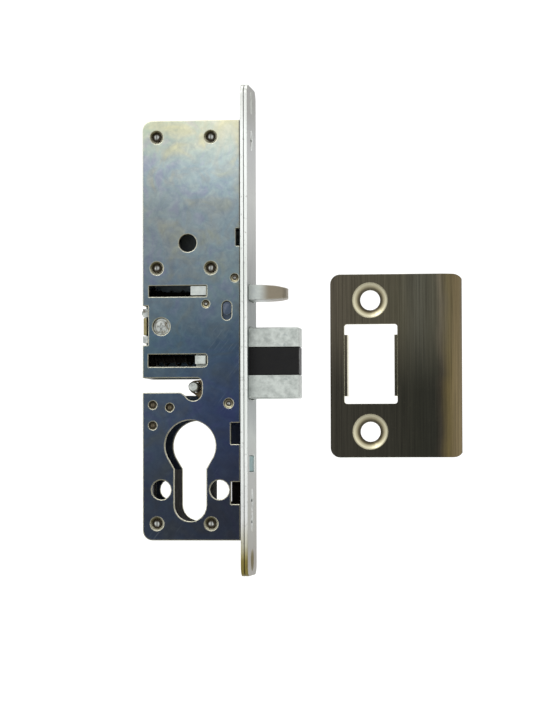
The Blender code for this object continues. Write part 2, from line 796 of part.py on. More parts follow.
def build_trigger_spring():
    """Spring that pushes the trigger out, and the flanged rod inside it."""
    z = (TRIGGER_BOTTOM + TRIGGER_TOP) / 2
    coil("trigger_spring", -1.3, -35.4, TRIGGER_SPRING_Y, z, 1.5, 0.5, 10, 8)
    seat = WALL_REAR_IN + 0.2
    profile = [
        (0, -15.2),
        (0.6, -15.2),
        (0.9, -15.5),
        (0.9, seat + 0.6),
        (2.2, seat + 0.6),
        (2.2, seat),
        (0, seat),
    ]
    rod = turned("trigger_spring_rod", profile, (0, TRIGGER_SPRING_Y, z), "+X", 14)
    finish(rod, "bright")


def build_anchor():
    """Block at the rear notch, its two ears, the strip between them and the screw that holds it."""
    near = -INNER_Y + FIT
    block = box_cutter("anchor_block", (WALL_REAR_IN + 0.2, -26.6), (near, 1.5), (-4.6, 7.9))
    CUTTERS.objects.unlink(block)
    PARTS.objects.link(block)
    soften(block, 0.3)
    outer = (CASE_REAR + 0.1, WALL_REAR_IN + 0.35)
    ears = [
        box_cutter("anchor_ear_upper", outer, (-10.35, -4.0), (4.7, 7.6)),
        box_cutter("anchor_ear_bump", (CASE_REAR - 0.45, -37), (-9.6, -5.0), (5.4, 6.8)),
        box_cutter("anchor_ear_lower", outer, (-10.35, -4.0), (-4.55, -2.1)),
    ]
    for ear in ears:
        combine(block, ear, "UNION")
    x, z = ANCHOR_SCREW
    ring = [(0, 12), (2.5, 12), (2.5, 8.4), (1.75, 8.0), (1.75, 2.5), (0, 2.5)]
    combine(block, turned("anchor_screw_bore", ring, (x, 0, z), "-Y", collection=CUTTERS))
    finish(block, "bright")

    strip = box_cutter("anchor_strip", (CASE_REAR + 0.25, WALL_REAR_IN - 0.1), (-10.2, -4.0), (-1.75, 4.4))
    CUTTERS.objects.unlink(strip)
    PARTS.objects.link(strip)
    soften(strip, 0.2)
    finish(strip, "brass")

    head = [
        (0, 10.35),
        (2.0, 10.35),
        (2.2, 10.15),
        (2.2, 9.85),
        (2.95, 9.8),
        (2.95, 9.4),
        (2.3, 9.2),
        (1.5, 8.3),
        (1.5, 3.3),
        (1.1, 2.9),
        (0, 2.9),
    ]
    screw = turned("anchor_screw", head, (x, 0, z), "-Y")
    for bar in cross_recess("anchor_screw", (x, -10.35, z), "-Y", 2.8, 0.9):
        combine(screw, bar)
    finish(screw, "bright")


def build_guide_bracket():
    """Thin plate inside the cover, held by three small rivets, that guides the drive pin's end."""
    outline = [(-36.1, -24.8), (-36.1, -35.6), (-32.4, -35.6), (-26.3, -29.6), (-26.3, -25.6), (-27.1, -24.8)]
    low = -INNER_Y + FIT
    holes = [circle(x, z, BRACKET_RIVET_R + FIT, 14) for x, z in BRACKET_RIVETS.values()]
    bracket = prism("guide_bracket", "XZ", outline, low, low + 1.0, holes)
    finish(bracket, "zinc")
    outer = CASE_HALF_THICK - 0.15
    inner = INNER_Y - FIT - 1.0 - FIT
    head = BRACKET_RIVET_R + 0.6
    profile = [
        (0, outer),
        (BRACKET_RIVET_R * 0.7, outer),
        (BRACKET_RIVET_R, outer - 0.3),
        (BRACKET_RIVET_R, inner),
        (head, inner),
        (head - 0.3, inner - 0.5),
        (0, inner - 0.6),
    ]
    for name, (x, z) in BRACKET_RIVETS.items():
        rivet = turned(name, profile, (x, 0, z), "-Y", 14)
        finish(rivet, "brown")


def build_drive_lever():
    """Lever hinged on the latch bolt, with the pin seen in the rear slot and a foot for the cylinder cam."""
    px, pz = LEVER_PIVOT
    dx, dz = DRIVE_PIN
    outline = [
        *arc(px, pz, 2.5, -60, 90, math.radians(20)),
        *arc(dx, dz, 2.4, 90, 250, math.radians(20)),
        (-19.2, -23.6),
        (-18.6, -26.2),
        (-17.9, -26.7),
        (-14.6, -26.7),
        (-13.6, -25.6),
        (-12.4, -22.4),
    ]
    holes = [circle(px, pz, LEVER_PIVOT_R + FIT, 16), circle(dx, dz, DRIVE_PIN_R + FIT, 16)]
    lever = prism("drive_lever", "XZ", outline, -LEVER_HALF_THICK, LEVER_HALF_THICK, holes)
    soften(lever, 0.25)
    finish(lever, "brown")
    end = INNER_Y - 0.4
    side = [(0, end), (DRIVE_PIN_R - 0.35, end), (DRIVE_PIN_R, end - 0.35)]
    profile = side + [(r, -h) for r, h in reversed(side)]
    pin = turned("drive_pin", profile, (dx, 0, dz), "-Y")
    finish(pin, "bright")
    end = LEVER_HALF_THICK + 2.2
    side = [(0, end), (LEVER_PIVOT_R - 0.3, end), (LEVER_PIVOT_R, end - 0.3)]
    profile = side + [(r, -h) for r, h in reversed(side)]
    pivot = turned("drive_lever_pivot", profile, (px, 0, pz), "-Y", 16)
    finish(pivot, "bright")
    return lever, pin, pivot


def build_deadlock_block():
    """Block between the bolts that drops as the trigger goes in; its boss shows in the upright slot."""
    block = box_cutter("deadlock_block", (-10.2, -5.0), (-INNER_Y + 0.3, INNER_Y - 0.6), (3.0, 10.3))
    CUTTERS.objects.unlink(block)
    PARTS.objects.link(block)
    soften(block, 0.3)
    boss = upright_obround(GUIDE_SLOT_X, 5.3, 10.0, GUIDE_SLOT_R - 0.2)
    add = prism("deadlock_boss", "XZ", boss, -CASE_HALF_THICK + 0.5, -INNER_Y + 2, collection=CUTTERS)
    combine(block, add, "UNION")
    finish(block, "zinc")
    return block


def lip_section():
    """Strike section seen from above: flat plate, then a lip that curls away from the front."""
    y, t = STRIKE_FACE_Y, STRIKE_STOCK
    radius = 9.0
    sweep = 46
    cy = y + radius
    outer = arc(LIP_START, cy, radius, -90, -90 + sweep, math.radians(8))
    inner = arc(LIP_START, cy, radius - t, -90 + sweep, -90, math.radians(8))
    end_x, end_y = outer[-1]
    slope = math.radians(sweep)
    run = (STRIKE_RIGHT - end_x) / math.cos(slope)
    tip = (STRIKE_RIGHT, end_y + run * math.sin(slope))
    back = (tip[0] - t * math.sin(slope), tip[1] + t * math.cos(slope))
    return [(STRIKE_LEFT, y), *outer, tip, back, *inner, (STRIKE_LEFT, y + t)]


def build_strike_plate():
    """Strike plate with its lip, bent tabs at the latch opening and two countersunk holes."""
    plate = prism("strike_plate", "XY", lip_section(), STRIKE_BOTTOM, STRIKE_TOP)
    r = STRIKE_CORNER
    face = rounded(STRIKE_LEFT, STRIKE_RIGHT + 0.5, STRIKE_BOTTOM, STRIKE_TOP, r, r, r, r)
    combine(plate, prism("strike_outline", "XZ", face, 0, 20, collection=CUTTERS), "INTERSECT")
    x0, x1, z0, z1 = STRIKE_OPENING
    opening = prism("strike_opening", "XZ", rounded(x0, x1, z0, z1, 1, 1, 1, 1), 0, 12, collection=CUTTERS)
    combine(plate, opening)
    tab_low, tab_high = STRIKE_TAB_Z
    front = STRIKE_FACE_Y + 0.35
    for index, (near, far) in enumerate(((x0 - 0.8, x0 + 1.1), (x1 - 1.1, x1 + 0.8))):
        tab = box_cutter(f"strike_tab_{index}", (near, far), (front, STRIKE_BACK_Y), (tab_low, tab_high))
        combine(plate, tab, "UNION")
    for index, z in enumerate(STRIKE_HOLE_Z):
        y = STRIKE_FACE_Y
        sink = [(0, 1 - y), (STRIKE_SINK_R, 1 - y), (STRIKE_SINK_R, -y - 0.1)]
        sink += [(STRIKE_HOLE_R, -y - 1.2), (STRIKE_HOLE_R, -y - 4), (0, -y - 4)]
        combine(plate, turned(f"strike_sink_{index}", sink, (STRIKE_HOLE_X, 0, z), "-Y", 24, CUTTERS))
    soften(plate, 0.2)
    finish(plate, "bronzed")
    return plate


def carry(name, place, pieces):
    """Parent moving pieces to an empty that stands on their joint."""
    empty = bpy.data.objects.new(name, None)
    empty.location = Vector(place) * MM
    PARTS.objects.link(empty)
    bpy.context.view_layer.update()
    for piece in pieces:
        piece.parent = empty
        piece.matrix_parent_inverse = empty.matrix_world.inverted()
    return empty


def build_all():
    """Build every piece, then hang the moving ones on their carriers."""
    build_case_body()
    build_cover_plate()
    build_case_rivets()
    build_guide_pins()
    build_forend()
    build_faceplate()
    build_front_block("front_block_top", 63.4, 72.9)
    build_front_block("front_block_bottom", -72.9, -65.6)
    flat_head_screw("faceplate_screw_top", CASE_SCREW_Z, 3.15, 2.0, 9.4, "bright")
    flat_head_screw("faceplate_screw_bottom", -CASE_SCREW_Z, 3.15, 2.0, 9.4, "bright")
    build_screw_block()
    build_cylinder_guide()
    flat_head_screw("cylinder_screw", CYLINDER_SCREW_Z, 3.6, 2.45, 6.2, "bright")
    build_window_insert()
    build_latch_spring()
    build_trigger_spring()
    build_anchor()
    build_guide_bracket()
    latch = build_latch_bolt()
    insert = build_latch_insert()
    trigger = build_trigger_bolt()
    lever, pin, pivot = build_drive_lever()
    block = build_deadlock_block()
    strike = build_strike_plate()
    carrier = carry("latch_carrier", (0, 0, LATCH_SPRING_Z), [latch, insert, pivot])
    hinge = carry("drive_lever_axis", (LEVER_PIVOT[0], 0, LEVER_PIVOT[1]), [lever, pin])
    hinge.parent = carrier
    hinge.matrix_parent_inverse = carrier.matrix_world.inverted()
    carry("trigger_carrier", (0, 0, (TRIGGER_BOTTOM + TRIGGER_TOP) / 2), [trigger])
    carry("deadlock_carrier", (GUIDE_SLOT_X, 0, 0), [block])
    carry("strike_carrier", (STRIKE_LEFT, STRIKE_FACE_Y, 0), [strike])
    for obj in PARTS.objects:
        if obj.type == "MESH" and not any(m.type == "SCREW" for m in obj.modifiers):
            shade_round(obj)


build_all()
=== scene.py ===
import math

import bmesh
import bpy
from bpy.props import FloatProperty, FloatVectorProperty, PointerProperty
from mathutils import Matrix, Vector


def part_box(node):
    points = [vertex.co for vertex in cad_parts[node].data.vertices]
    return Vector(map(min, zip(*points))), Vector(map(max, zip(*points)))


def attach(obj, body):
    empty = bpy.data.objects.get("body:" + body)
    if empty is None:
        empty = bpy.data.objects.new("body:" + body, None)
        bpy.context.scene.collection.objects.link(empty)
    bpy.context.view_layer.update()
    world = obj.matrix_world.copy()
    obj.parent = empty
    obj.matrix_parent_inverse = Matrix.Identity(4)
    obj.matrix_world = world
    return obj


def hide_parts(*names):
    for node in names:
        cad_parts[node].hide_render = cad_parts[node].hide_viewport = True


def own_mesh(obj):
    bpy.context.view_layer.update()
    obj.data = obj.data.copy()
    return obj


bl_info = {
    "name": "Mortise Lock",
    "version": (1, 0, 0),
    "blender": (4, 5, 0),
    "location": "3D View > Sidebar > Mortise Lock",
    "description": "Finishes for a narrow mortise lock and its strike plate, with a plain studio",
    "category": "Object",
}

# Lengths are in metres.

# Heights on the case where each tone of painted light and shade on its plating sits, from the top down
PAINTED_LIGHT_HEIGHTS = (0.072, 0.058, 0.043, 0.018, -0.004, -0.028, -0.062)
PAINTED_LIGHT_NAMES = ("top", "shoulder", "upper", "middle", "waist", "low", "foot")
PAINTED_LIGHT_SPREAD = 0.0045

# Distance from the middle of the case at which the painted shade on the inner faces ends and begins
INNER_SHADE_ENDS = 0.0091
INNER_SHADE_BEGINS = 0.0088

# Springs: the wire and the number of turns
LATCH_WIRE = 0.0008
LATCH_TURNS = 9
TRIGGER_WIRE = 0.0005
TRIGGER_TURNS = 10
CLOSE_PITCH = 1.1
POINTS_PER_TURN = 24
SIDES_OF_WIRE = 8

# Where the trigger starts to darken towards its nose, and where it has the nose tone all over
NOSE_TONE_START = 0.0030
NOSE_TONE_FULL = 0.0074

# How squarely a surface has to face outwards to count as edge, and as face
EDGE_LIMIT = 0.74
FACE_LIMIT = 0.94

# Strike plate: screw holes, their countersinks, and the heights between which it darkens as painted shade
STRIKE_HOLE_IN = 0.0143
STRIKE_HOLE_HEIGHTS = (0.011, -0.0362)
STRIKE_SINK_REACH = 0.0066
STRIKE_DARK_BELOW = -0.024
STRIKE_LIGHT_ABOVE = 0.006

# Edges that turn by less than this are shaded smooth
SMOOTH_ANGLE = math.radians(30)

# Floor and wall: radius of the curve between them, height of the wall, and sides of the sheet
TENT_BEND = 0.8
TENT_BEND_STEPS = 8
TENT_HEIGHT = 3.0
TENT_SIDES = 64

# Lights: where they stand and how wide they are
LIGHT_TARGET = (0.0, 0.0, 0.0)
KEY_LIGHT_PLACE = (-0.5, -0.8, 0.9)
KEY_LIGHT_WIDTH = 0.5
TOP_LIGHT_PLACE = (0.1, 0.1, 1.1)
TOP_LIGHT_WIDTH = 0.7
AIR_BRIGHTNESS = 0.9

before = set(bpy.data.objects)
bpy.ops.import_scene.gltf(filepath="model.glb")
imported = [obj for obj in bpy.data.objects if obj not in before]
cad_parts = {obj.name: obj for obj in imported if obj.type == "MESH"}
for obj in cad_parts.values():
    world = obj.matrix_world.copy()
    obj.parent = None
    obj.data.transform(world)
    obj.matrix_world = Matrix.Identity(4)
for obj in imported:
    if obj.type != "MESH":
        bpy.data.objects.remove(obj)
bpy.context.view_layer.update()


def paint(red, green, blue):
    """A colour given on the usual 0 to 255 scale, turned into Blender's linear values."""
    linear = []
    for part in (red, green, blue):
        share = part / 255
        linear.append(share / 12.92 if share <= 0.04045 else ((share + 0.055) / 1.055) ** 2.4)
    return tuple(linear)


def tone(label, red, green, blue, description):
    """A colour property with a default given on the 0 to 255 scale."""
    return FloatVectorProperty(
        name=label,
        description=description,
        subtype="COLOR",
        size=3,
        min=0.0,
        max=1.0,
        default=paint(red, green, blue),
    )


# ---------------------------------------------------------------------------
# What a user may change
# ---------------------------------------------------------------------------

class MORTISE_PG_cover_rear(bpy.types.PropertyGroup):
    """Painted light and shade of the plated case along its rear edge, from the top down."""

    top: tone("Top", 186, 190, 167, "Painted light on the plating at the top of the case")
    shoulder: tone("Shoulder", 151, 160, 162, "Painted light on the plating just under the top rivets")
    upper: tone("Upper", 126, 133, 133, "Painted light and shade on the plating above the round hole")
    middle: tone("Middle", 98, 108, 116, "Painted shade on the plating above the trigger slot")
    waist: tone("Waist", 72, 90, 100, "Painted shade on the plating between the two slots")
    low: tone("Low", 58, 69, 84, "Painted shade on the plating under the drive slot")
    foot: tone("Foot", 40, 47, 59, "Painted shade on the plating at the bottom of the case")


class MORTISE_PG_cover_front(bpy.types.PropertyGroup):
    """Painted light and shade of the plated case beside the faceplate, from the top down."""

    top: tone("Top", 210, 210, 188, "Painted light on the plating at the top of the case")
    shoulder: tone("Shoulder", 169, 181, 182, "Painted light on the plating just under the top rivets")
    upper: tone("Upper", 128, 139, 144, "Painted light and shade on the plating above the round hole")
    middle: tone("Middle", 104, 117, 121, "Painted shade on the plating above the trigger slot")
    waist: tone("Waist", 55, 70, 86, "Painted shade on the plating between the two slots")
    low: tone("Low", 40, 50, 76, "Painted shade on the plating under the drive slot")
    foot: tone("Foot", 33, 37, 48, "Painted shade on the plating at the bottom of the case")


class MORTISE_PG_finishes(bpy.types.PropertyGroup):
    """Colours and wear of the smaller pieces."""

    # Painted highlight and shade: the cut edges of the sheet are brightened on their upper side and darkened on their
    # lower side
    rim: tone("Cut edges with painted highlight", 246, 243, 218, "Cut edges of the plated sheet, brightened as a painted highlight")
    rim_shade: tone("Shaded side of the cut edges", 124, 118, 88, "Painted shade on the downward side of the cut edges")
    grease: tone("Grease", 27, 24, 20, "Painted shade on the inner faces of the case")
    face_light: tone("Faceplate edge", 232, 236, 232, "Ground edge of the faceplate")
    face_dark: tone("Faceplate front", 84, 93, 90, "Front of the faceplate")
    face_stain: tone("Faceplate stain", 108, 98, 48, "Yellowed plating at the ends of the faceplate")
    bolt_light: tone("Bolt light", 190, 196, 191, "Cast bolt where it is clean")
    bolt_dark: tone("Bolt dark", 152, 158, 154, "Cast bolt where it is stained")
    nose: tone("Trigger nose", 128, 120, 104, "Darker, browner nose of the trigger bolt")
    pad: tone("Pad", 33, 33, 33, "Hardened insert of the latch bolt")
    steel: tone("Turned steel", 186, 190, 186, "Rivets, pins and screws")
    stain_and_shade: tone("Turned steel stain and rivet ring shade", 92, 86, 72, "Stain on rivets, pins and screws, also the painted shade on the rivet rings")
    groove: tone("Rivet grooves", 46, 40, 31, "Dark collars and grooves of the peened rivets")
    rivet_ring: tone("Rivet rings", 228, 223, 198, "Painted highlight on the lower side of the rings round the rivets")
    oiled: tone("Oiled steel", 120, 104, 78, "Drive lever and bracket rivets")
    brass: tone("Strip", 150, 142, 106, "Brass anchor strip")
    insert: tone("Window insert", 96, 132, 132, "Moulded insert of the lower window")
    strike_dark: tone("Strike dark", 42, 41, 34, "Smoked plate in its painted shade, low down")
    strike_mid: tone("Strike middle", 72, 69, 56, "Smoked plate around its middle, in its painted light higher up")
    strike_lip: tone("Strike lip", 110, 97, 69, "Turned lip of the strike plate")
    strike_ring: tone("Strike rings", 216, 211, 182, "Painted highlight in the countersinks and on the edges of the strike plate")
    rim_width: FloatProperty(
        name="Rim width",
        description="Width of the rounded, brighter rim along the edges of the plated sheet",
        subtype="DISTANCE",
        unit="LENGTH",
        min=0.0,
        max=0.001,
        default=0.0006,
    )


class MORTISE_PG_studio(bpy.types.PropertyGroup):
    """Floor, lights and camera."""

    floor_height: FloatProperty(
        name="Floor height",
        description="Height of the floor",
        subtype="DISTANCE",
        unit="LENGTH",
        default=-0.15,
    )
    tent_radius: FloatProperty(
        name="Tent radius",
        description="Distance from the middle of the floor to the white wall round it",
        subtype="DISTANCE",
        unit="LENGTH",
        min=1.0,
        default=3.2,
    )
    tent_glow: FloatProperty(
        name="Tent brightness",
        description="Brightness of the white wall and floor",
        min=0.0,
        default=0.8,
    )
    key_power: FloatProperty(
        name="Key light",
        description="Power of the light above and to the left",
        subtype="POWER",
        unit="POWER",
        min=0.0,
        default=2.5,
    )
    top_power: FloatProperty(
        name="Top light",
        description="Power of the light straight above",
        subtype="POWER",
        unit="POWER",
        min=0.0,
        default=2.5,
    )
    camera_place: FloatVectorProperty(
        name="Camera",
        description="Where the camera stands",
        subtype="TRANSLATION",
        unit="LENGTH",
        size=3,
        default=(0.1267, -1.0, -0.0467),
    )
    camera_turn: FloatVectorProperty(
        name="Camera direction",
        description="Turn to the left, tilt up and roll of the camera",
        subtype="EULER",
        unit="ROTATION",
        size=3,
        default=(math.radians(6.68), math.radians(2.2), math.radians(-0.15)),
    )
    focal_length: FloatProperty(
        name="Focal length",
        description="Focal length of the camera lens in millimetres",
        min=10.0,
        default=143.85,
    )


# ---------------------------------------------------------------------------
# Materials
# ---------------------------------------------------------------------------

def blank_material(name):
    """A new node material with nothing in it."""
    material = bpy.data.materials.new(name)
    material.use_nodes = True
    material.node_tree.nodes.clear()
    return material


def opaque(colour):
    """A colour with full alpha, as a socket takes it."""
    return (colour[0], colour[1], colour[2], 1.0)


def fill_ramp(ramp, stops):
    """Sets a colour ramp to the given (position, colour) stops."""
    first, last = ramp.elements[0], ramp.elements[-1]
    first.position, first.color = stops[0][0], opaque(stops[0][1])
    last.position, last.color = stops[-1][0], opaque(stops[-1][1])
    for position, colour in stops[1:-1]:
        ramp.elements.new(position).color = opaque(colour)


def place_in_frame(nodes, label, members, column, row):
    """Groups nodes in a labelled frame and sets them out in a row."""
    frame_node = nodes.new("NodeFrame")
    frame_node.label = label
    for step, node in enumerate(members):
        node.parent = frame_node
        node.location = (column + 200 * step, row)


def height_stops(tones, half_height):
    """Ramp stops for the painted light and shade of the case, from its bottom to its top."""
    stops = []
    for height, name in reversed(list(zip(PAINTED_LIGHT_HEIGHTS, PAINTED_LIGHT_NAMES))):
        stops.append(((height + half_height) / (2 * half_height), getattr(tones, name)))
    return stops


def plated_sheet(name, rear, front, finishes, face_axis, spread):
    """Zinc plated sheet: painted light and shade from top to bottom, cloudy, scratched, and bright where it was cut,
    with a painted highlight and shade on its rims.
    """
    material = blank_material(name)
    nodes = material.node_tree.nodes
    links = material.node_tree.links
    low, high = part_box("case_body")
    half_height = high.z

    place = nodes.new("ShaderNodeTexCoord")
    place.label = "Place on the case"
    split = nodes.new("ShaderNodeSeparateXYZ")
    split.label = "Height and depth"
    links.new(place.outputs["Object"], split.inputs["Vector"])
    smear = nodes.new("ShaderNodeTexNoise")
    smear.label = "Smears that bend the painted light and shade"
    smear.inputs["Scale"].default_value = 38.0
    smear.inputs["Detail"].default_value = 5.0
    smear.inputs["Roughness"].default_value = 0.6
    smear.inputs["Distortion"].default_value = 0.8
    links.new(place.outputs["Object"], smear.inputs["Vector"])
    shift = nodes.new("ShaderNodeMapRange")
    shift.label = "How far a smear moves a tone"
    shift.inputs["To Min"].default_value = -spread
    shift.inputs["To Max"].default_value = spread
    links.new(smear.outputs["Fac"], shift.inputs["Value"])
    bent = nodes.new("ShaderNodeMath")
    bent.label = "Bent height"
    bent.operation = "ADD"
    links.new(split.outputs["Z"], bent.inputs[0])
    links.new(shift.outputs["Result"], bent.inputs[1])
    share = nodes.new("ShaderNodeMapRange")
    share.label = "Share of the height"
    share.inputs["From Min"].default_value = -half_height
    share.inputs["From Max"].default_value = half_height
    links.new(bent.outputs["Value"], share.inputs["Value"])
    rear_ramp = nodes.new("ShaderNodeValToRGB")
    rear_ramp.label = "Painted light and shade at the rear edge"
    fill_ramp(rear_ramp.color_ramp, height_stops(rear, half_height))
    links.new(share.outputs["Result"], rear_ramp.inputs["Fac"])
    front_ramp = nodes.new("ShaderNodeValToRGB")
    front_ramp.label = "Painted light and shade beside the faceplate"
    fill_ramp(front_ramp.color_ramp, height_stops(front, half_height))
    links.new(share.outputs["Result"], front_ramp.inputs["Fac"])
    across = nodes.new("ShaderNodeMapRange")
    across.label = "Rear to front"
    across.interpolation_type = "SMOOTHSTEP"
    across.inputs["From Min"].default_value = low.x
    across.inputs["From Max"].default_value = high.x
    links.new(split.outputs["X"], across.inputs["Value"])
    # Painted light and shade: the plating is lighter at the top and darker towards the bottom; clouds, film and
    # scratches go over it
    plating = nodes.new("ShaderNodeMix")
    plating.label = "Plating in painted light and shade"
    plating.data_type = "RGBA"
    links.new(across.outputs["Result"], plating.inputs["Factor"])
    links.new(rear_ramp.outputs["Color"], plating.inputs["A"])
    links.new(front_ramp.outputs["Color"], plating.inputs["B"])
    place_in_frame(nodes, "Painted light and shade from top to bottom",
                   (place, smear, shift, split, bent, share, rear_ramp, front_ramp, across, plating), -2600, 600)

    clouds = nodes.new("ShaderNodeTexNoise")
    clouds.label = "Cloudy plating"
    clouds.inputs["Scale"].default_value = 300.0
    clouds.inputs["Detail"].default_value = 8.0
    clouds.inputs["Roughness"].default_value = 0.7
    clouds.inputs["Distortion"].default_value = 0.5
    links.new(place.outputs["Object"], clouds.inputs["Vector"])
    cloud_ramp = nodes.new("ShaderNodeValToRGB")
    cloud_ramp.label = "Cloud strength"
    fill_ramp(cloud_ramp.color_ramp, (
        (0.3, (0.36, 0.38, 0.42)),
        (0.5, (0.5, 0.5, 0.5)),
        (0.72, (0.68, 0.66, 0.6)),
    ))
    links.new(clouds.outputs["Fac"], cloud_ramp.inputs["Fac"])
    clouded = nodes.new("ShaderNodeMix")
    clouded.label = "Clouds over the tone"
    clouded.data_type = "RGBA"
    clouded.blend_type = "OVERLAY"
    clouded.inputs["Factor"].default_value = 0.8
    links.new(plating.outputs["Result"], clouded.inputs["A"])
    links.new(cloud_ramp.outputs["Color"], clouded.inputs["B"])
    film = nodes.new("ShaderNodeTexNoise")
    film.label = "Thin passivation film"
    film.inputs["Scale"].default_value = 85.0
    film.inputs["Detail"].default_value = 3.0
    film.inputs["Distortion"].default_value = 1.6
    links.new(place.outputs["Object"], film.inputs["Vector"])
    film_ramp = nodes.new("ShaderNodeValToRGB")
    film_ramp.label = "Film colours"
    fill_ramp(film_ramp.color_ramp, (
        (0.34, (0.46, 0.44, 0.62)),
        (0.46, (0.44, 0.54, 0.58)),
        (0.56, (0.5, 0.5, 0.5)),
        (0.7, (0.62, 0.56, 0.4)),
    ))
    links.new(film.outputs["Fac"], film_ramp.inputs["Fac"])
    filmed = nodes.new("ShaderNodeMix")
    filmed.label = "Film over the plating"
    filmed.data_type = "RGBA"
    filmed.blend_type = "OVERLAY"
    filmed.inputs["Factor"].default_value = 0.45
    links.new(clouded.outputs["Result"], filmed.inputs["A"])
    links.new(film_ramp.outputs["Color"], filmed.inputs["B"])
    place_in_frame(nodes, "Clouds and film", (clouds, cloud_ramp, clouded, film, film_ramp, filmed), -2600, 200)

    slant = nodes.new("ShaderNodeMapping")
    slant.label = "Direction of the scratches"
    slant.vector_type = "TEXTURE"
    slant.inputs["Rotation"].default_value = (0.0, math.radians(38), 0.0)
    slant.inputs["Scale"].default_value = (0.0006, 0.002, 0.012)
    links.new(place.outputs["Object"], slant.inputs["Vector"])
    scratch = nodes.new("ShaderNodeTexNoise")
    scratch.label = "Scratches"
    scratch.inputs["Scale"].default_value = 1.0
    scratch.inputs["Detail"].default_value = 3.0
    links.new(slant.outputs["Vector"], scratch.inputs["Vector"])
    scratch_line = nodes.new("ShaderNodeMapRange")
    scratch_line.label = "Only the thin peaks"
    scratch_line.inputs["From Min"].default_value = 0.62
    scratch_line.inputs["From Max"].default_value = 0.74
    links.new(scratch.outputs["Fac"], scratch_line.inputs["Value"])
    scratch_patch = nodes.new("ShaderNodeMapRange")
    scratch_patch.label = "Scratched only in patches"
    scratch_patch.inputs["From Min"].default_value = 0.48
    scratch_patch.inputs["From Max"].default_value = 0.7
    scratch_patch.inputs["To Max"].default_value = 0.22
    links.new(smear.outputs["Fac"], scratch_patch.inputs["Value"])
    faint = nodes.new("ShaderNodeMath")
    faint.label = "Faintness of a scratch"
    faint.operation = "MULTIPLY"
    links.new(scratch_line.outputs["Result"], faint.inputs[0])
    links.new(scratch_patch.outputs["Result"], faint.inputs[1])
    scratched = nodes.new("ShaderNodeMix")
    scratched.label = "Scratched plating"
    scratched.data_type = "RGBA"
    scratched.inputs["B"].default_value = opaque(paint(176, 186, 190))
    links.new(faint.outputs["Value"], scratched.inputs["Factor"])
    links.new(filmed.outputs["Result"], scratched.inputs["A"])
    place_in_frame(nodes, "Scratches", (slant, scratch, scratch_line, scratch_patch, faint, scratched), -2600, -200)

    rounded = nodes.new("ShaderNodeBevel")
    rounded.label = "Rounded rims"
    rounded.samples = 6
    rounded.inputs["Radius"].default_value = finishes.rim_width
    facing = nodes.new("ShaderNodeSeparateXYZ")
    facing.label = "Sheet faces"
    links.new(rounded.outputs["Normal"], facing.inputs["Vector"])
    flat = nodes.new("ShaderNodeMath")
    flat.label = "How flat on the sheet"
    flat.operation = "ABSOLUTE"
    links.new(facing.outputs[face_axis], flat.inputs[0])
    cut_edge = nodes.new("ShaderNodeMapRange")
    cut_edge.label = "Rims that take the painted highlight and shade"
    cut_edge.inputs["From Min"].default_value = 0.998
    cut_edge.inputs["From Max"].default_value = 0.93
    links.new(flat.outputs["Value"], cut_edge.inputs["Value"])
    rimmed = nodes.new("ShaderNodeMix")
    rimmed.label = "Painted highlight and shade on the cut edges"
    rimmed.data_type = "RGBA"
    # Painted highlight and shade: rims that face up and to the rear are made bright, rims that face down are made
    # dark
    lit_side = nodes.new("ShaderNodeVectorMath")
    lit_side.label = "Rims that face up and to the rear"
    lit_side.operation = "DOT_PRODUCT"
    lit_side.inputs[1].default_value = (-0.45, 0.0, 0.9)
    links.new(rounded.outputs["Normal"], lit_side.inputs[0])
    lit = nodes.new("ShaderNodeMapRange")
    lit.label = "Painted light on rims facing up, painted shade on rims facing down"
    lit.inputs["From Min"].default_value = -0.55
    lit.inputs["From Max"].default_value = 0.35
    links.new(lit_side.outputs["Value"], lit.inputs["Value"])
    rim_tone = nodes.new("ShaderNodeMix")
    rim_tone.label = "Painted rim light and shade"
    rim_tone.data_type = "RGBA"
    rim_tone.inputs["A"].default_value = opaque(finishes.rim_shade)
    rim_tone.inputs["B"].default_value = opaque(finishes.rim)
    links.new(lit.outputs["Result"], rim_tone.inputs["Factor"])
    links.new(rim_tone.outputs["Result"], rimmed.inputs["B"])
    links.new(cut_edge.outputs["Result"], rimmed.inputs["Factor"])
    links.new(scratched.outputs["Result"], rimmed.inputs["A"])
    # Painted shade: the inner faces of the case, between its walls, are darkened where shade falls inside
    depth = nodes.new("ShaderNodeMath")
    depth.label = "Distance from the middle of the case"
    depth.operation = "ABSOLUTE"
    links.new(split.outputs["Y"], depth.inputs[0])
    inside = nodes.new("ShaderNodeMapRange")
    inside.label = "Inside the case"
    inside.inputs["From Min"].default_value = INNER_SHADE_ENDS
    inside.inputs["From Max"].default_value = INNER_SHADE_BEGINS
    links.new(depth.outputs["Value"], inside.inputs["Value"])
    behind = nodes.new("ShaderNodeMapRange")
    behind.label = "Not on the outer faces of the walls"
    behind.inputs["From Min"].default_value = low.x + 0.0004
    behind.inputs["From Max"].default_value = low.x + 0.001
    links.new(split.outputs["X"], behind.inputs["Value"])
    tallness = nodes.new("ShaderNodeMath")
    tallness.label = "Distance above or below the middle"
    tallness.operation = "ABSOLUTE"
    links.new(split.outputs["Z"], tallness.inputs[0])
    between = nodes.new("ShaderNodeMapRange")
    between.label = "Between the top and bottom walls"
    between.inputs["From Min"].default_value = half_height - 0.0004
    between.inputs["From Max"].default_value = half_height - 0.001
    links.new(tallness.outputs["Value"], between.inputs["Value"])
    walled = nodes.new("ShaderNodeMath")
    walled.label = "Inside all the walls"
    walled.operation = "MULTIPLY"
    links.new(behind.outputs["Result"], walled.inputs[0])
    links.new(between.outputs["Result"], walled.inputs[1])
    shade_inside_mask = nodes.new("ShaderNodeMath")
    shade_inside_mask.label = "Where the painted shade falls inside"
    shade_inside_mask.operation = "MULTIPLY"
    links.new(inside.outputs["Result"], shade_inside_mask.inputs[0])
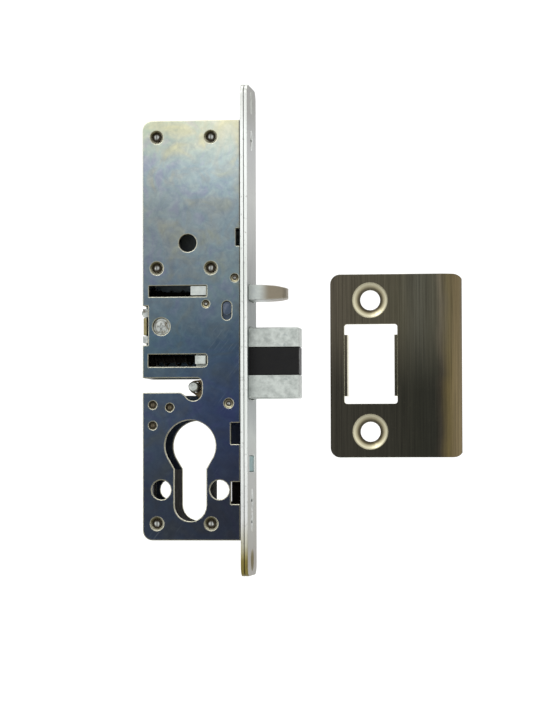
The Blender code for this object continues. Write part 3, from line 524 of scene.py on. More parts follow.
    links.new(walled.outputs["Value"], shade_inside_mask.inputs[1])
    shaded_inside = nodes.new("ShaderNodeMix")
    shaded_inside.label = "Inner faces in painted shade"
    shaded_inside.data_type = "RGBA"
    shaded_inside.inputs["B"].default_value = opaque(finishes.grease)
    links.new(shade_inside_mask.outputs["Value"], shaded_inside.inputs["Factor"])
    links.new(rimmed.outputs["Result"], shaded_inside.inputs["A"])
    place_in_frame(nodes, "Edges and inside",
                   (rounded, facing, flat, cut_edge, lit_side, lit, rim_tone, rimmed, depth, inside, behind, tallness,
                    between, walled, shade_inside_mask, shaded_inside), -2600, -600)

    gloss = nodes.new("ShaderNodeMapRange")
    gloss.label = "Smudged gloss"
    gloss.inputs["From Min"].default_value = 0.3
    gloss.inputs["From Max"].default_value = 0.7
    gloss.inputs["To Min"].default_value = 0.28
    gloss.inputs["To Max"].default_value = 0.5
    links.new(film.outputs["Fac"], gloss.inputs["Value"])
    grain = nodes.new("ShaderNodeTexNoise")
    grain.label = "Rolled sheet grain"
    grain.inputs["Scale"].default_value = 1400.0
    grain.inputs["Detail"].default_value = 4.0
    links.new(place.outputs["Object"], grain.inputs["Vector"])
    relief = nodes.new("ShaderNodeBump")
    relief.label = "Grain relief"
    relief.inputs["Strength"].default_value = 0.18
    relief.inputs["Distance"].default_value = 0.0001
    links.new(grain.outputs["Fac"], relief.inputs["Height"])
    links.new(rounded.outputs["Normal"], relief.inputs["Normal"])
    dent = nodes.new("ShaderNodeBump")
    dent.label = "Soft waves of the sheet"
    dent.inputs["Strength"].default_value = 0.25
    dent.inputs["Distance"].default_value = 0.0006
    links.new(smear.outputs["Fac"], dent.inputs["Height"])
    links.new(relief.outputs["Normal"], dent.inputs["Normal"])
    metal = nodes.new("ShaderNodeBsdfPrincipled")
    metal.label = "Zinc plated steel"
    metal.inputs["Metallic"].default_value = 0.85
    links.new(shaded_inside.outputs["Result"], metal.inputs["Base Color"])
    links.new(gloss.outputs["Result"], metal.inputs["Roughness"])
    links.new(dent.outputs["Normal"], metal.inputs["Normal"])
    end = nodes.new("ShaderNodeOutputMaterial")
    end.label = "Surface"
    links.new(metal.outputs["BSDF"], end.inputs["Surface"])
    place_in_frame(nodes, "Gloss and relief", (gloss, grain, relief, dent, metal, end), -400, 0)
    return material


def drawn_steel(name, tone_axis, span, face_axis, face_stops, edge_stops, lines, line_contrast, rough, speck,
                low_stops, low_span, rings):
    """Brushed or ground plate: toned along one axis and in height, lined by the brush, with its own edge tones; on
    the strike plate the height toning is painted shade and the edge and countersink tones are painted highlight.
    """
    material = blank_material(name)
    nodes = material.node_tree.nodes
    links = material.node_tree.links

    place = nodes.new("ShaderNodeTexCoord")
    place.label = "Place on the plate"
    split = nodes.new("ShaderNodeSeparateXYZ")
    split.label = "Axes"
    links.new(place.outputs["Object"], split.inputs["Vector"])
    smear = nodes.new("ShaderNodeTexNoise")
    smear.label = "Uneven tone"
    smear.inputs["Scale"].default_value = 60.0
    smear.inputs["Detail"].default_value = 5.0
    smear.inputs["Distortion"].default_value = 0.6
    links.new(place.outputs["Object"], smear.inputs["Vector"])
    nudge = nodes.new("ShaderNodeMapRange")
    nudge.label = "How far the tone wanders"
    nudge.inputs["To Min"].default_value = (span[1] - span[0]) * -0.04
    nudge.inputs["To Max"].default_value = (span[1] - span[0]) * 0.04
    links.new(smear.outputs["Fac"], nudge.inputs["Value"])
    bent = nodes.new("ShaderNodeMath")
    bent.label = "Wandering place"
    bent.operation = "ADD"
    links.new(split.outputs[tone_axis], bent.inputs[0])
    links.new(nudge.outputs["Result"], bent.inputs[1])
    share = nodes.new("ShaderNodeMapRange")
    share.label = "Share of the length"
    share.inputs["From Min"].default_value = span[0]
    share.inputs["From Max"].default_value = span[1]
    links.new(bent.outputs["Value"], share.inputs["Value"])
    face_ramp = nodes.new("ShaderNodeValToRGB")
    face_ramp.label = "Tones of the face"
    fill_ramp(face_ramp.color_ramp, face_stops)
    links.new(share.outputs["Result"], face_ramp.inputs["Fac"])
    low_ramp = nodes.new("ShaderNodeValToRGB")
    low_ramp.label = "Tones of the lower face"
    fill_ramp(low_ramp.color_ramp, low_stops)
    links.new(share.outputs["Result"], low_ramp.inputs["Fac"])
    lower = nodes.new("ShaderNodeMapRange")
    lower.label = "Upper to lower"
    lower.interpolation_type = "SMOOTHSTEP"
    lower.inputs["From Min"].default_value = low_span[1]
    lower.inputs["From Max"].default_value = low_span[0]
    links.new(split.outputs["Z"], lower.inputs["Value"])
    whole_face = nodes.new("ShaderNodeMix")
    whole_face.label = "Whole face"
    whole_face.data_type = "RGBA"
    links.new(lower.outputs["Result"], whole_face.inputs["Factor"])
    links.new(face_ramp.outputs["Color"], whole_face.inputs["A"])
    links.new(low_ramp.outputs["Color"], whole_face.inputs["B"])
    edge_ramp = nodes.new("ShaderNodeValToRGB")
    edge_ramp.label = "Tones of the edge"
    fill_ramp(edge_ramp.color_ramp, edge_stops)
    links.new(share.outputs["Result"], edge_ramp.inputs["Fac"])
    rounded = nodes.new("ShaderNodeBevel")
    rounded.label = "Rounded edges"
    rounded.samples = 6
    rounded.inputs["Radius"].default_value = 0.0003
    facing = nodes.new("ShaderNodeSeparateXYZ")
    facing.label = "Face or edge"
    links.new(rounded.outputs["Normal"], facing.inputs["Vector"])
    flat = nodes.new("ShaderNodeMath")
    flat.label = "How flat on the face"
    flat.operation = "ABSOLUTE"
    links.new(facing.outputs[face_axis], flat.inputs[0])
    on_face = nodes.new("ShaderNodeMapRange")
    on_face.label = "Face against edge"
    on_face.inputs["From Min"].default_value = EDGE_LIMIT
    on_face.inputs["From Max"].default_value = FACE_LIMIT
    links.new(flat.outputs["Value"], on_face.inputs["Value"])
    plate = nodes.new("ShaderNodeMix")
    plate.label = "Plate tone"
    plate.data_type = "RGBA"
    links.new(on_face.outputs["Result"], plate.inputs["Factor"])
    links.new(edge_ramp.outputs["Color"], plate.inputs["A"])
    links.new(whole_face.outputs["Result"], plate.inputs["B"])
    place_in_frame(nodes, "Tone of face and edge",
                   (place, split, smear, nudge, bent, share, face_ramp, low_ramp, lower, whole_face, edge_ramp,
                    rounded, facing, flat, on_face, plate), -2800, 600)

    stretch = nodes.new("ShaderNodeMapping")
    stretch.label = "Direction of the brush"
    stretch.inputs["Scale"].default_value = lines
    links.new(place.outputs["Object"], stretch.inputs["Vector"])
    brush = nodes.new("ShaderNodeTexNoise")
    brush.label = "Brush lines"
    brush.inputs["Scale"].default_value = 1.0
    brush.inputs["Detail"].default_value = 6.0
    brush.inputs["Roughness"].default_value = 0.7
    links.new(stretch.outputs["Vector"], brush.inputs["Vector"])
    brush_ramp = nodes.new("ShaderNodeValToRGB")
    brush_ramp.label = "Strength of the lines"
    fill_ramp(brush_ramp.color_ramp, (
        (0.3, (0.5 - line_contrast, 0.5 - line_contrast, 0.5 - line_contrast)),
        (0.7, (0.5 + line_contrast, 0.5 + line_contrast, 0.5 + line_contrast)),
    ))
    links.new(brush.outputs["Fac"], brush_ramp.inputs["Fac"])
    lined = nodes.new("ShaderNodeMix")
    lined.label = "Lines over the tone"
    lined.data_type = "RGBA"
    lined.blend_type = "OVERLAY"
    lined.inputs["Factor"].default_value = 1.0
    links.new(plate.outputs["Result"], lined.inputs["A"])
    links.new(brush_ramp.outputs["Color"], lined.inputs["B"])
    specks = nodes.new("ShaderNodeTexNoise")
    specks.label = "Specks"
    specks.inputs["Scale"].default_value = 900.0
    specks.inputs["Detail"].default_value = 2.0
    links.new(place.outputs["Object"], specks.inputs["Vector"])
    speck_peak = nodes.new("ShaderNodeMapRange")
    speck_peak.label = "Only the dark specks"
    speck_peak.inputs["From Min"].default_value = 0.62
    speck_peak.inputs["From Max"].default_value = 0.75
    speck_peak.inputs["To Max"].default_value = speck
    links.new(specks.outputs["Fac"], speck_peak.inputs["Value"])
    specked = nodes.new("ShaderNodeMix")
    specked.label = "Specked plate"
    specked.data_type = "RGBA"
    specked.inputs["B"].default_value = opaque(paint(70, 66, 54))
    links.new(speck_peak.outputs["Result"], specked.inputs["Factor"])
    links.new(lined.outputs["Result"], specked.inputs["A"])
    place_in_frame(nodes, "Brush lines and specks",
                   (stretch, brush, brush_ramp, lined, specks, speck_peak, specked), -2800, 200)

    toned = specked
    # Countersinks: a painted highlight, brightest on the lower side, with painted shade next to the hole
    for centre_x, centre_z, reach, ring_stops in rings:
        on_plate = nodes.new("ShaderNodeCombineXYZ")
        on_plate.label = "Place on the flat"
        links.new(split.outputs["X"], on_plate.inputs["X"])
        links.new(split.outputs["Z"], on_plate.inputs["Z"])
        away = nodes.new("ShaderNodeVectorMath")
        away.label = "Distance from the screw hole"
        away.operation = "DISTANCE"
        away.inputs[1].default_value = (centre_x, 0.0, centre_z)
        links.new(on_plate.outputs["Vector"], away.inputs[0])
        ring_share = nodes.new("ShaderNodeMapRange")
        ring_share.label = "Share of the countersink"
        ring_share.inputs["From Max"].default_value = reach
        links.new(away.outputs["Value"], ring_share.inputs["Value"])
        ring_ramp = nodes.new("ShaderNodeValToRGB")
        ring_ramp.label = "Tones of the countersink"
        fill_ramp(ring_ramp.color_ramp, ring_stops)
        links.new(ring_share.outputs["Result"], ring_ramp.inputs["Fac"])
        within = nodes.new("ShaderNodeMapRange")
        within.label = "Inside the countersink"
        within.inputs["From Min"].default_value = reach
        within.inputs["From Max"].default_value = reach * 0.9
        links.new(away.outputs["Value"], within.inputs["Value"])
        height = nodes.new("ShaderNodeMapRange")
        height.label = "Painted highlight brighter towards its foot"
        height.inputs["From Min"].default_value = centre_z + reach * 0.8
        height.inputs["From Max"].default_value = centre_z - reach * 0.5
        height.inputs["To Min"].default_value = 0.5
        links.new(split.outputs["Z"], height.inputs["Value"])
        strength = nodes.new("ShaderNodeMath")
        strength.label = "Strength of the painted highlight"
        strength.operation = "MULTIPLY"
        links.new(within.outputs["Result"], strength.inputs[0])
        links.new(height.outputs["Result"], strength.inputs[1])
        ringed = nodes.new("ShaderNodeMix")
        ringed.label = "Countersink with painted highlight"
        ringed.data_type = "RGBA"
        links.new(strength.outputs["Value"], ringed.inputs["Factor"])
        links.new(toned.outputs["Result"], ringed.inputs["A"])
        links.new(ring_ramp.outputs["Color"], ringed.inputs["B"])
        place_in_frame(nodes, "Countersink",
                       (on_plate, away, ring_share, ring_ramp, within, height, strength, ringed), -2800, -200)
        toned = ringed
    gloss = nodes.new("ShaderNodeMapRange")
    gloss.label = "Gloss along the lines"
    gloss.inputs["From Min"].default_value = 0.3
    gloss.inputs["From Max"].default_value = 0.7
    gloss.inputs["To Min"].default_value = rough - 0.07
    gloss.inputs["To Max"].default_value = rough + 0.1
    links.new(brush.outputs["Fac"], gloss.inputs["Value"])
    relief = nodes.new("ShaderNodeBump")
    relief.label = "Depth of the lines"
    relief.inputs["Strength"].default_value = 0.25
    relief.inputs["Distance"].default_value = 0.00008
    links.new(brush.outputs["Fac"], relief.inputs["Height"])
    links.new(rounded.outputs["Normal"], relief.inputs["Normal"])
    metal = nodes.new("ShaderNodeBsdfPrincipled")
    metal.label = "Brushed steel"
    metal.inputs["Metallic"].default_value = 0.9
    links.new(toned.outputs["Result"], metal.inputs["Base Color"])
    links.new(gloss.outputs["Result"], metal.inputs["Roughness"])
    links.new(relief.outputs["Normal"], metal.inputs["Normal"])
    end = nodes.new("ShaderNodeOutputMaterial")
    end.label = "Surface"
    links.new(metal.outputs["BSDF"], end.inputs["Surface"])
    place_in_frame(nodes, "Gloss and relief", (gloss, relief, metal, end), -1000, 0)
    return material


def mottled_metal(name, light, dark, stain, scale, stain_share, rough, metallic, rim, along_x=None, shine=0.5):
    """Cast or turned metal: mottled between two tones, stained in places, and brighter at its edges from wear and a
    painted edge highlight.
    """
    material = blank_material(name)
    nodes = material.node_tree.nodes
    links = material.node_tree.links

    place = nodes.new("ShaderNodeTexCoord")
    place.label = "Place on the piece"
    mottle = nodes.new("ShaderNodeTexNoise")
    mottle.label = "Mottling"
    mottle.inputs["Scale"].default_value = scale
    mottle.inputs["Detail"].default_value = 6.0
    mottle.inputs["Roughness"].default_value = 0.65
    links.new(place.outputs["Object"], mottle.inputs["Vector"])
    mottle_ramp = nodes.new("ShaderNodeValToRGB")
    mottle_ramp.label = "Light and dark metal"
    fill_ramp(mottle_ramp.color_ramp, ((0.36, dark), (0.62, light)))
    links.new(mottle.outputs["Fac"], mottle_ramp.inputs["Fac"])
    patch = nodes.new("ShaderNodeTexNoise")
    patch.label = "Stain patches"
    patch.inputs["Scale"].default_value = scale * 0.45
    patch.inputs["Detail"].default_value = 3.0
    patch.inputs["Distortion"].default_value = 1.2
    links.new(place.outputs["Object"], patch.inputs["Vector"])
    patch_share = nodes.new("ShaderNodeMapRange")
    patch_share.label = "How much is stained"
    patch_share.inputs["From Min"].default_value = 0.7 - 0.4 * stain_share
    patch_share.inputs["From Max"].default_value = 0.85 - 0.4 * stain_share
    links.new(patch.outputs["Fac"], patch_share.inputs["Value"])
    stained = nodes.new("ShaderNodeMix")
    stained.label = "Stained metal"
    stained.data_type = "RGBA"
    stained.inputs["B"].default_value = opaque(stain)
    links.new(patch_share.outputs["Result"], stained.inputs["Factor"])
    links.new(mottle_ramp.outputs["Color"], stained.inputs["A"])
    place_in_frame(nodes, "Mottling and stain", (place, mottle, mottle_ramp, patch, patch_share, stained), -2000, 400)

    toned = stained
    if along_x is not None:
        start, stop, nose_toning = along_x
        split = nodes.new("ShaderNodeSeparateXYZ")
        split.label = "Along the bolt"
        links.new(place.outputs["Object"], split.inputs["Vector"])
        towards = nodes.new("ShaderNodeMapRange")
        towards.label = "Towards the darker nose"
        towards.interpolation_type = "SMOOTHSTEP"
        towards.inputs["From Min"].default_value = start
        towards.inputs["From Max"].default_value = stop
        links.new(split.outputs["X"], towards.inputs["Value"])
        toned = nodes.new("ShaderNodeMix")
        toned.label = "Nose tone"
        toned.data_type = "RGBA"
        toned.inputs["B"].default_value = opaque(nose_toning)
        links.new(towards.outputs["Result"], toned.inputs["Factor"])
        links.new(stained.outputs["Result"], toned.inputs["A"])
        place_in_frame(nodes, "Nose tone", (split, towards, toned), -2000, 0)

    rounded = nodes.new("ShaderNodeBevel")
    rounded.label = "Rounded edges"
    rounded.samples = 4
    rounded.inputs["Radius"].default_value = 0.0002
    surface = nodes.new("ShaderNodeNewGeometry")
    surface.label = "Surface before rounding"
    turned_away = nodes.new("ShaderNodeVectorMath")
    turned_away.label = "How far the edge turns"
    turned_away.operation = "DOT_PRODUCT"
    links.new(rounded.outputs["Normal"], turned_away.inputs[0])
    links.new(surface.outputs["True Normal"], turned_away.inputs[1])
    on_edge = nodes.new("ShaderNodeMapRange")
    on_edge.label = "Where the edges wear and take a painted highlight"
    on_edge.inputs["From Min"].default_value = 0.995
    on_edge.inputs["From Max"].default_value = 0.9
    on_edge.inputs["To Max"].default_value = 0.7
    links.new(turned_away.outputs["Value"], on_edge.inputs["Value"])
    # Painted highlight: the rounded edges are brightened, partly as wear and partly as the highlight the light puts
    # on them
    worn_and_highlighted = nodes.new("ShaderNodeMix")
    worn_and_highlighted.label = "Bright worn edges and painted highlight"
    worn_and_highlighted.data_type = "RGBA"
    worn_and_highlighted.inputs["B"].default_value = opaque(rim)
    links.new(on_edge.outputs["Result"], worn_and_highlighted.inputs["Factor"])
    links.new(toned.outputs["Result"], worn_and_highlighted.inputs["A"])
    place_in_frame(nodes, "Edge wear and painted highlight", (rounded, surface, turned_away, on_edge, worn_and_highlighted), -2000, -400)

    gloss = nodes.new("ShaderNodeMapRange")
    gloss.label = "Patchy gloss"
    gloss.inputs["From Min"].default_value = 0.3
    gloss.inputs["From Max"].default_value = 0.7
    gloss.inputs["To Min"].default_value = rough - 0.08
    gloss.inputs["To Max"].default_value = rough + 0.12
    links.new(mottle.outputs["Fac"], gloss.inputs["Value"])
    grain = nodes.new("ShaderNodeTexNoise")
    grain.label = "Fine grain"
    grain.inputs["Scale"].default_value = scale * 6
    grain.inputs["Detail"].default_value = 4.0
    links.new(place.outputs["Object"], grain.inputs["Vector"])
    relief = nodes.new("ShaderNodeBump")
    relief.label = "Grain relief"
    relief.inputs["Strength"].default_value = 0.3
    relief.inputs["Distance"].default_value = 0.0001
    links.new(grain.outputs["Fac"], relief.inputs["Height"])
    links.new(rounded.outputs["Normal"], relief.inputs["Normal"])
    metal = nodes.new("ShaderNodeBsdfPrincipled")
    metal.label = name
    metal.inputs["Metallic"].default_value = metallic
    metal.inputs["Specular IOR Level"].default_value = shine
    links.new(worn_and_highlighted.outputs["Result"], metal.inputs["Base Color"])
    links.new(gloss.outputs["Result"], metal.inputs["Roughness"])
    links.new(relief.outputs["Normal"], metal.inputs["Normal"])
    end = nodes.new("ShaderNodeOutputMaterial")
    end.label = "Surface"
    links.new(metal.outputs["BSDF"], end.inputs["Surface"])
    place_in_frame(nodes, "Gloss and relief", (gloss, grain, relief, metal, end), -700, 0)
    return material


def peened_end(name, node, head, groove, ring, shadow):
    """Peened rivet or pin end: a domed head with a hammered groove, a dark collar, and a ring lit from one side."""
    material = blank_material(name)
    nodes = material.node_tree.nodes
    links = material.node_tree.links
    low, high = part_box(node)
    middle = (low + high) / 2
    radius = (high.x - low.x) / 2

    place = nodes.new("ShaderNodeTexCoord")
    place.label = "Place on the rivet"
    from_middle = nodes.new("ShaderNodeVectorMath")
    from_middle.label = "From the middle of the rivet"
    from_middle.operation = "SUBTRACT"
    from_middle.inputs[1].default_value = middle
    links.new(place.outputs["Object"], from_middle.inputs[0])
    split = nodes.new("ShaderNodeSeparateXYZ")
    split.label = "Axes"
    links.new(from_middle.outputs["Vector"], split.inputs["Vector"])
    flat = nodes.new("ShaderNodeCombineXYZ")
    flat.label = "On the rivet's end"
    links.new(split.outputs["X"], flat.inputs["X"])
    links.new(split.outputs["Z"], flat.inputs["Z"])
    away = nodes.new("ShaderNodeVectorMath")
    away.label = "Distance from the middle"
    away.operation = "LENGTH"
    links.new(flat.outputs["Vector"], away.inputs[0])
    hammer = nodes.new("ShaderNodeTexNoise")
    hammer.label = "Hammered unevenness"
    hammer.inputs["Scale"].default_value = 900.0
    hammer.inputs["Detail"].default_value = 3.0
    links.new(place.outputs["Object"], hammer.inputs["Vector"])
    wander = nodes.new("ShaderNodeMapRange")
    wander.label = "How far the rings wander"
    wander.inputs["To Min"].default_value = radius * -0.18
    wander.inputs["To Max"].default_value = radius * 0.18
    links.new(hammer.outputs["Fac"], wander.inputs["Value"])
    uneven = nodes.new("ShaderNodeMath")
    uneven.label = "Uneven distance"
    uneven.operation = "ADD"
    links.new(away.outputs["Value"], uneven.inputs[0])
    links.new(wander.outputs["Result"], uneven.inputs[1])
    share = nodes.new("ShaderNodeMapRange")
    share.label = "Share of the radius"
    share.inputs["From Max"].default_value = radius
    links.new(uneven.outputs["Value"], share.inputs["Value"])
    place_in_frame(nodes, "Distance from the middle",
                   (place, from_middle, split, flat, away, hammer, wander, uneven, share), -2400, 400)

    # Painted highlight and shade: the ring round a rivet is bright on its lower rear side and dark on the other side
    lit_side = nodes.new("ShaderNodeVectorMath")
    lit_side.label = "Towards the lower rear"
    lit_side.operation = "DOT_PRODUCT"
    lit_side.inputs[1].default_value = (-0.55, 0.0, -0.84)
    links.new(flat.outputs["Vector"], lit_side.inputs[0])
    lit = nodes.new("ShaderNodeMapRange")
    lit.label = "Painted highlight low on the ring"
    lit.inputs["From Min"].default_value = radius * -0.5
    lit.inputs["From Max"].default_value = radius * 0.7
    links.new(lit_side.outputs["Value"], lit.inputs["Value"])
    ring_tone = nodes.new("ShaderNodeMix")
    ring_tone.label = "Ring tone"
    ring_tone.data_type = "RGBA"
    ring_tone.inputs["A"].default_value = opaque(shadow)
    ring_tone.inputs["B"].default_value = opaque(ring)
    links.new(lit.outputs["Result"], ring_tone.inputs["Factor"])
    head_ramp = nodes.new("ShaderNodeValToRGB")
    head_ramp.label = "Head and collar"
    fill_ramp(head_ramp.color_ramp, ((0.18, head), (0.36, groove), (0.5, groove), (0.66, shadow)))
    links.new(share.outputs["Result"], head_ramp.inputs["Fac"])
    outer = nodes.new("ShaderNodeMapRange")
    outer.label = "Outer ring"
    outer.inputs["From Min"].default_value = 0.6
    outer.inputs["From Max"].default_value = 0.8
    links.new(share.outputs["Result"], outer.inputs["Value"])
    ringed = nodes.new("ShaderNodeMix")
    ringed.label = "Head inside its ring"
    ringed.data_type = "RGBA"
    links.new(outer.outputs["Result"], ringed.inputs["Factor"])
    links.new(head_ramp.outputs["Color"], ringed.inputs["A"])
    links.new(ring_tone.outputs["Result"], ringed.inputs["B"])
    sideways = nodes.new("ShaderNodeMath")
    sideways.label = "Sideways from the middle"
    sideways.operation = "ABSOLUTE"
    links.new(split.outputs["X"], sideways.inputs[0])
    slash = nodes.new("ShaderNodeMapRange")
    slash.label = "Hammered groove"
    slash.inputs["From Min"].default_value = radius * 0.16
    slash.inputs["From Max"].default_value = radius * 0.06
    slash.inputs["To Max"].default_value = 0.75
    links.new(sideways.outputs["Value"], slash.inputs["Value"])
    in_head = nodes.new("ShaderNodeMapRange")
    in_head.label = "Only on the head"
    in_head.inputs["From Min"].default_value = 0.5
    in_head.inputs["From Max"].default_value = 0.35
    links.new(share.outputs["Result"], in_head.inputs["Value"])
    groove_mask = nodes.new("ShaderNodeMath")
    groove_mask.label = "Groove on the head"
    groove_mask.operation = "MULTIPLY"
    links.new(slash.outputs["Result"], groove_mask.inputs[0])
    links.new(in_head.outputs["Result"], groove_mask.inputs[1])
    grooved = nodes.new("ShaderNodeMix")
    grooved.label = "Grooved head"
    grooved.data_type = "RGBA"
    grooved.inputs["B"].default_value = opaque(groove)
    links.new(groove_mask.outputs["Value"], grooved.inputs["Factor"])
    links.new(ringed.outputs["Result"], grooved.inputs["A"])
    place_in_frame(nodes, "Rings and groove",
                   (lit_side, lit, ring_tone, head_ramp, outer, ringed, sideways, slash, in_head, groove_mask,
                    grooved), -2400, 0)

    gloss = nodes.new("ShaderNodeMapRange")
    gloss.label = "Hammered gloss"
    gloss.inputs["To Min"].default_value = 0.24
    gloss.inputs["To Max"].default_value = 0.5
    links.new(hammer.outputs["Fac"], gloss.inputs["Value"])
    relief = nodes.new("ShaderNodeBump")
    relief.label = "Hammered relief"
    relief.inputs["Strength"].default_value = 0.5
    relief.inputs["Distance"].default_value = 0.0003
    links.new(hammer.outputs["Fac"], relief.inputs["Height"])
    metal = nodes.new("ShaderNodeBsdfPrincipled")
    metal.label = "Peened steel"
    metal.inputs["Metallic"].default_value = 0.85
    links.new(grooved.outputs["Result"], metal.inputs["Base Color"])
    links.new(gloss.outputs["Result"], metal.inputs["Roughness"])
    links.new(relief.outputs["Normal"], metal.inputs["Normal"])
    end = nodes.new("ShaderNodeOutputMaterial")
    end.label = "Surface"
    links.new(metal.outputs["BSDF"], end.inputs["Surface"])
    place_in_frame(nodes, "Gloss and relief", (gloss, relief, metal, end), -200, 0)
    return material


def studio_white(name, glow):
    """Plain white that glows a little, with the faint unevenness of painted board."""
    material = blank_material(name)
    nodes = material.node_tree.nodes
    links = material.node_tree.links
    place = nodes.new("ShaderNodeTexCoord")
    place.label = "Place on the board"
    uneven = nodes.new("ShaderNodeTexNoise")
    uneven.label = "Uneven paint"
    uneven.inputs["Scale"].default_value = 3.0
    links.new(place.outputs["Object"], uneven.inputs["Vector"])
    gloss = nodes.new("ShaderNodeMapRange")
    gloss.label = "Paint gloss"
    gloss.inputs["To Min"].default_value = 0.8
    gloss.inputs["To Max"].default_value = 0.95
    links.new(uneven.outputs["Fac"], gloss.inputs["Value"])
    board = nodes.new("ShaderNodeBsdfPrincipled")
    board.label = "White board"
    board.inputs["Base Color"].default_value = (0.3, 0.3, 0.3, 1.0)
    board.inputs["Emission Color"].default_value = (1.0, 1.0, 1.0, 1.0)
    board.inputs["Emission Strength"].default_value = glow
    links.new(gloss.outputs["Result"], board.inputs["Roughness"])
    end = nodes.new("ShaderNodeOutputMaterial")
    end.label = "Surface"
    links.new(board.outputs["BSDF"], end.inputs["Surface"])
    place_in_frame(nodes, "Painted board", (place, uneven, gloss, board, end), -800, 0)
    return material


# ---------------------------------------------------------------------------
# Shared shape work
# ---------------------------------------------------------------------------

def crisp_edges_group():
    """Modifier that joins the facets, shades round walls smooth and keeps hard edges sharp."""
    found = bpy.data.node_groups.get("Crisp edges")
    if found is not None:
        return found
    group = bpy.data.node_groups.new("Crisp edges", "GeometryNodeTree")
    group.is_modifier = True
    group.interface.new_socket("Geometry", in_out="INPUT", socket_type="NodeSocketGeometry")
    group.interface.new_socket("Geometry", in_out="OUTPUT", socket_type="NodeSocketGeometry")
    nodes = group.nodes
    links = group.links
    start = nodes.new("NodeGroupInput")
    start.label = "Piece"
    start.location = (-800, 0)
    plain = nodes.new("GeometryNodeRemoveAttribute")
    plain.label = "Drop the stored normals"
    plain.location = (-600, 0)
    plain.inputs["Name"].default_value = "custom_normal"
    links.new(start.outputs["Geometry"], plain.inputs["Geometry"])
    join = nodes.new("GeometryNodeMergeByDistance")
    join.label = "Join the facets"
    join.location = (-400, 0)
    join.inputs["Distance"].default_value = 0.000001
    links.new(plain.outputs["Geometry"], join.inputs["Geometry"])
    smooth = nodes.new("GeometryNodeSetShadeSmooth")
    smooth.label = "Smooth faces"
    smooth.domain = "FACE"
    smooth.location = (-200, 0)
    links.new(join.outputs["Geometry"], smooth.inputs["Geometry"])
    angle = nodes.new("GeometryNodeInputMeshEdgeAngle")
    angle.label = "Angle at an edge"
    angle.location = (-400, -220)
    gentle = nodes.new("FunctionNodeCompare")
    gentle.label = "Gentle edges"
    gentle.data_type = "FLOAT"
    gentle.operation = "LESS_THAN"
    gentle.location = (-200, -220)
    gentle.inputs["B"].default_value = SMOOTH_ANGLE
    links.new(angle.outputs["Unsigned Angle"], gentle.inputs["A"])
    keep = nodes.new("GeometryNodeSetShadeSmooth")
    keep.label = "Sharp edges kept"
    keep.domain = "EDGE"
    keep.location = (0, 0)
    links.new(smooth.outputs["Geometry"], keep.inputs["Geometry"])
    links.new(gentle.outputs["Result"], keep.inputs["Shade Smooth"])
    end = nodes.new("NodeGroupOutput")
    end.label = "Shaded piece"
    end.location = (200, 0)
    links.new(keep.outputs["Geometry"], end.inputs["Geometry"])
    return group


def wound_spring(name, node, wire, turns, material):
    """Coil with closed ends that stands for a frame spring."""
    low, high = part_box(node)
    centre_y = (low.y + high.y) / 2
    centre_z = (low.z + high.z) / 2
    radius = (high.z - low.z - wire) / 2
    length = high.x - low.x
    close_pitch = wire * CLOSE_PITCH
    open_pitch = (length - wire - 2 * close_pitch) / (turns - 2)
    around = SIDES_OF_WIRE
    points = []
    for step in range(turns * POINTS_PER_TURN + 1):
        count = step / POINTS_PER_TURN
        closed = min(count, 1.0) + max(count - (turns - 1), 0.0)
        x = low.x + wire / 2 + closed * close_pitch + (count - closed) * open_pitch
        turn = 2 * math.pi * count
        outward = Vector((0.0, math.cos(turn), math.sin(turn)))
        along = Vector((wire / 6, -radius * math.sin(turn), radius * math.cos(turn))).normalized()
        across = along.cross(outward)
        centre = Vector((x, centre_y + radius * outward.y, centre_z + radius * outward.z))
        for side in range(around):
            angle = 2 * math.pi * side / around
            points.append(centre + (outward * math.cos(angle) + across * math.sin(angle)) * wire / 2)
    faces = []
    for first in range(0, len(points) - around, around):
        for side in range(around):
            following = (side + 1) % around
            faces.append((first + side, first + following, first + around + following, first + around + side))
    faces.append(tuple(reversed(range(around))))
    faces.append(tuple(range(len(points) - around, len(points))))
    mesh = bpy.data.meshes.new(name)
    mesh.from_pydata(points, [], faces)
    mesh.materials.append(material)
    shell = bmesh.new()
    shell.from_mesh(mesh)
    bmesh.ops.recalc_face_normals(shell, faces=shell.faces)
    shell.to_mesh(mesh)
    shell.free()
    mesh.shade_smooth()
    piece = bpy.data.objects.new(name, mesh)
    bpy.context.scene.collection.objects.link(piece)
    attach(piece, "case")
    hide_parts(node)
    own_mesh(piece)
    return piece


def dress(node, material):
    """Gives a frame node its finish and clean shading."""
    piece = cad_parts[node]
    piece.data.materials.clear()
    piece.data.materials.append(material)
    shading = piece.modifiers.new("Crisp edges", "NODES")
    shading.node_group = crisp_edges_group()
    return piece


# ---------------------------------------------------------------------------
# Operators
# ---------------------------------------------------------------------------

class MORTISE_OT_case(bpy.types.Operator):
    """Finish the case, its cover and the small sheet pieces"""

    bl_idname = "mortise.case"
    bl_label = "Plate the case"

    def execute(self, context):
        scene = context.scene
        finishes = scene.mortise_finishes
        sheet = plated_sheet("Plated case", scene.mortise_rear, scene.mortise_front, finishes, "Y", PAINTED_LIGHT_SPREAD)
        for node in ("case_body", "cover_plate"):
            dress(node, sheet)
        dress("guide_bracket", sheet)
        blued = mottled_metal("Blued deadlock block", paint(66, 79, 96), paint(52, 62, 78), paint(92, 101, 116),
                              scale=380.0, stain_share=0.25, rough=0.42, metallic=0.7, rim=paint(136, 142, 136))
        dress("deadlock_block", blued)
        return {"FINISHED"}


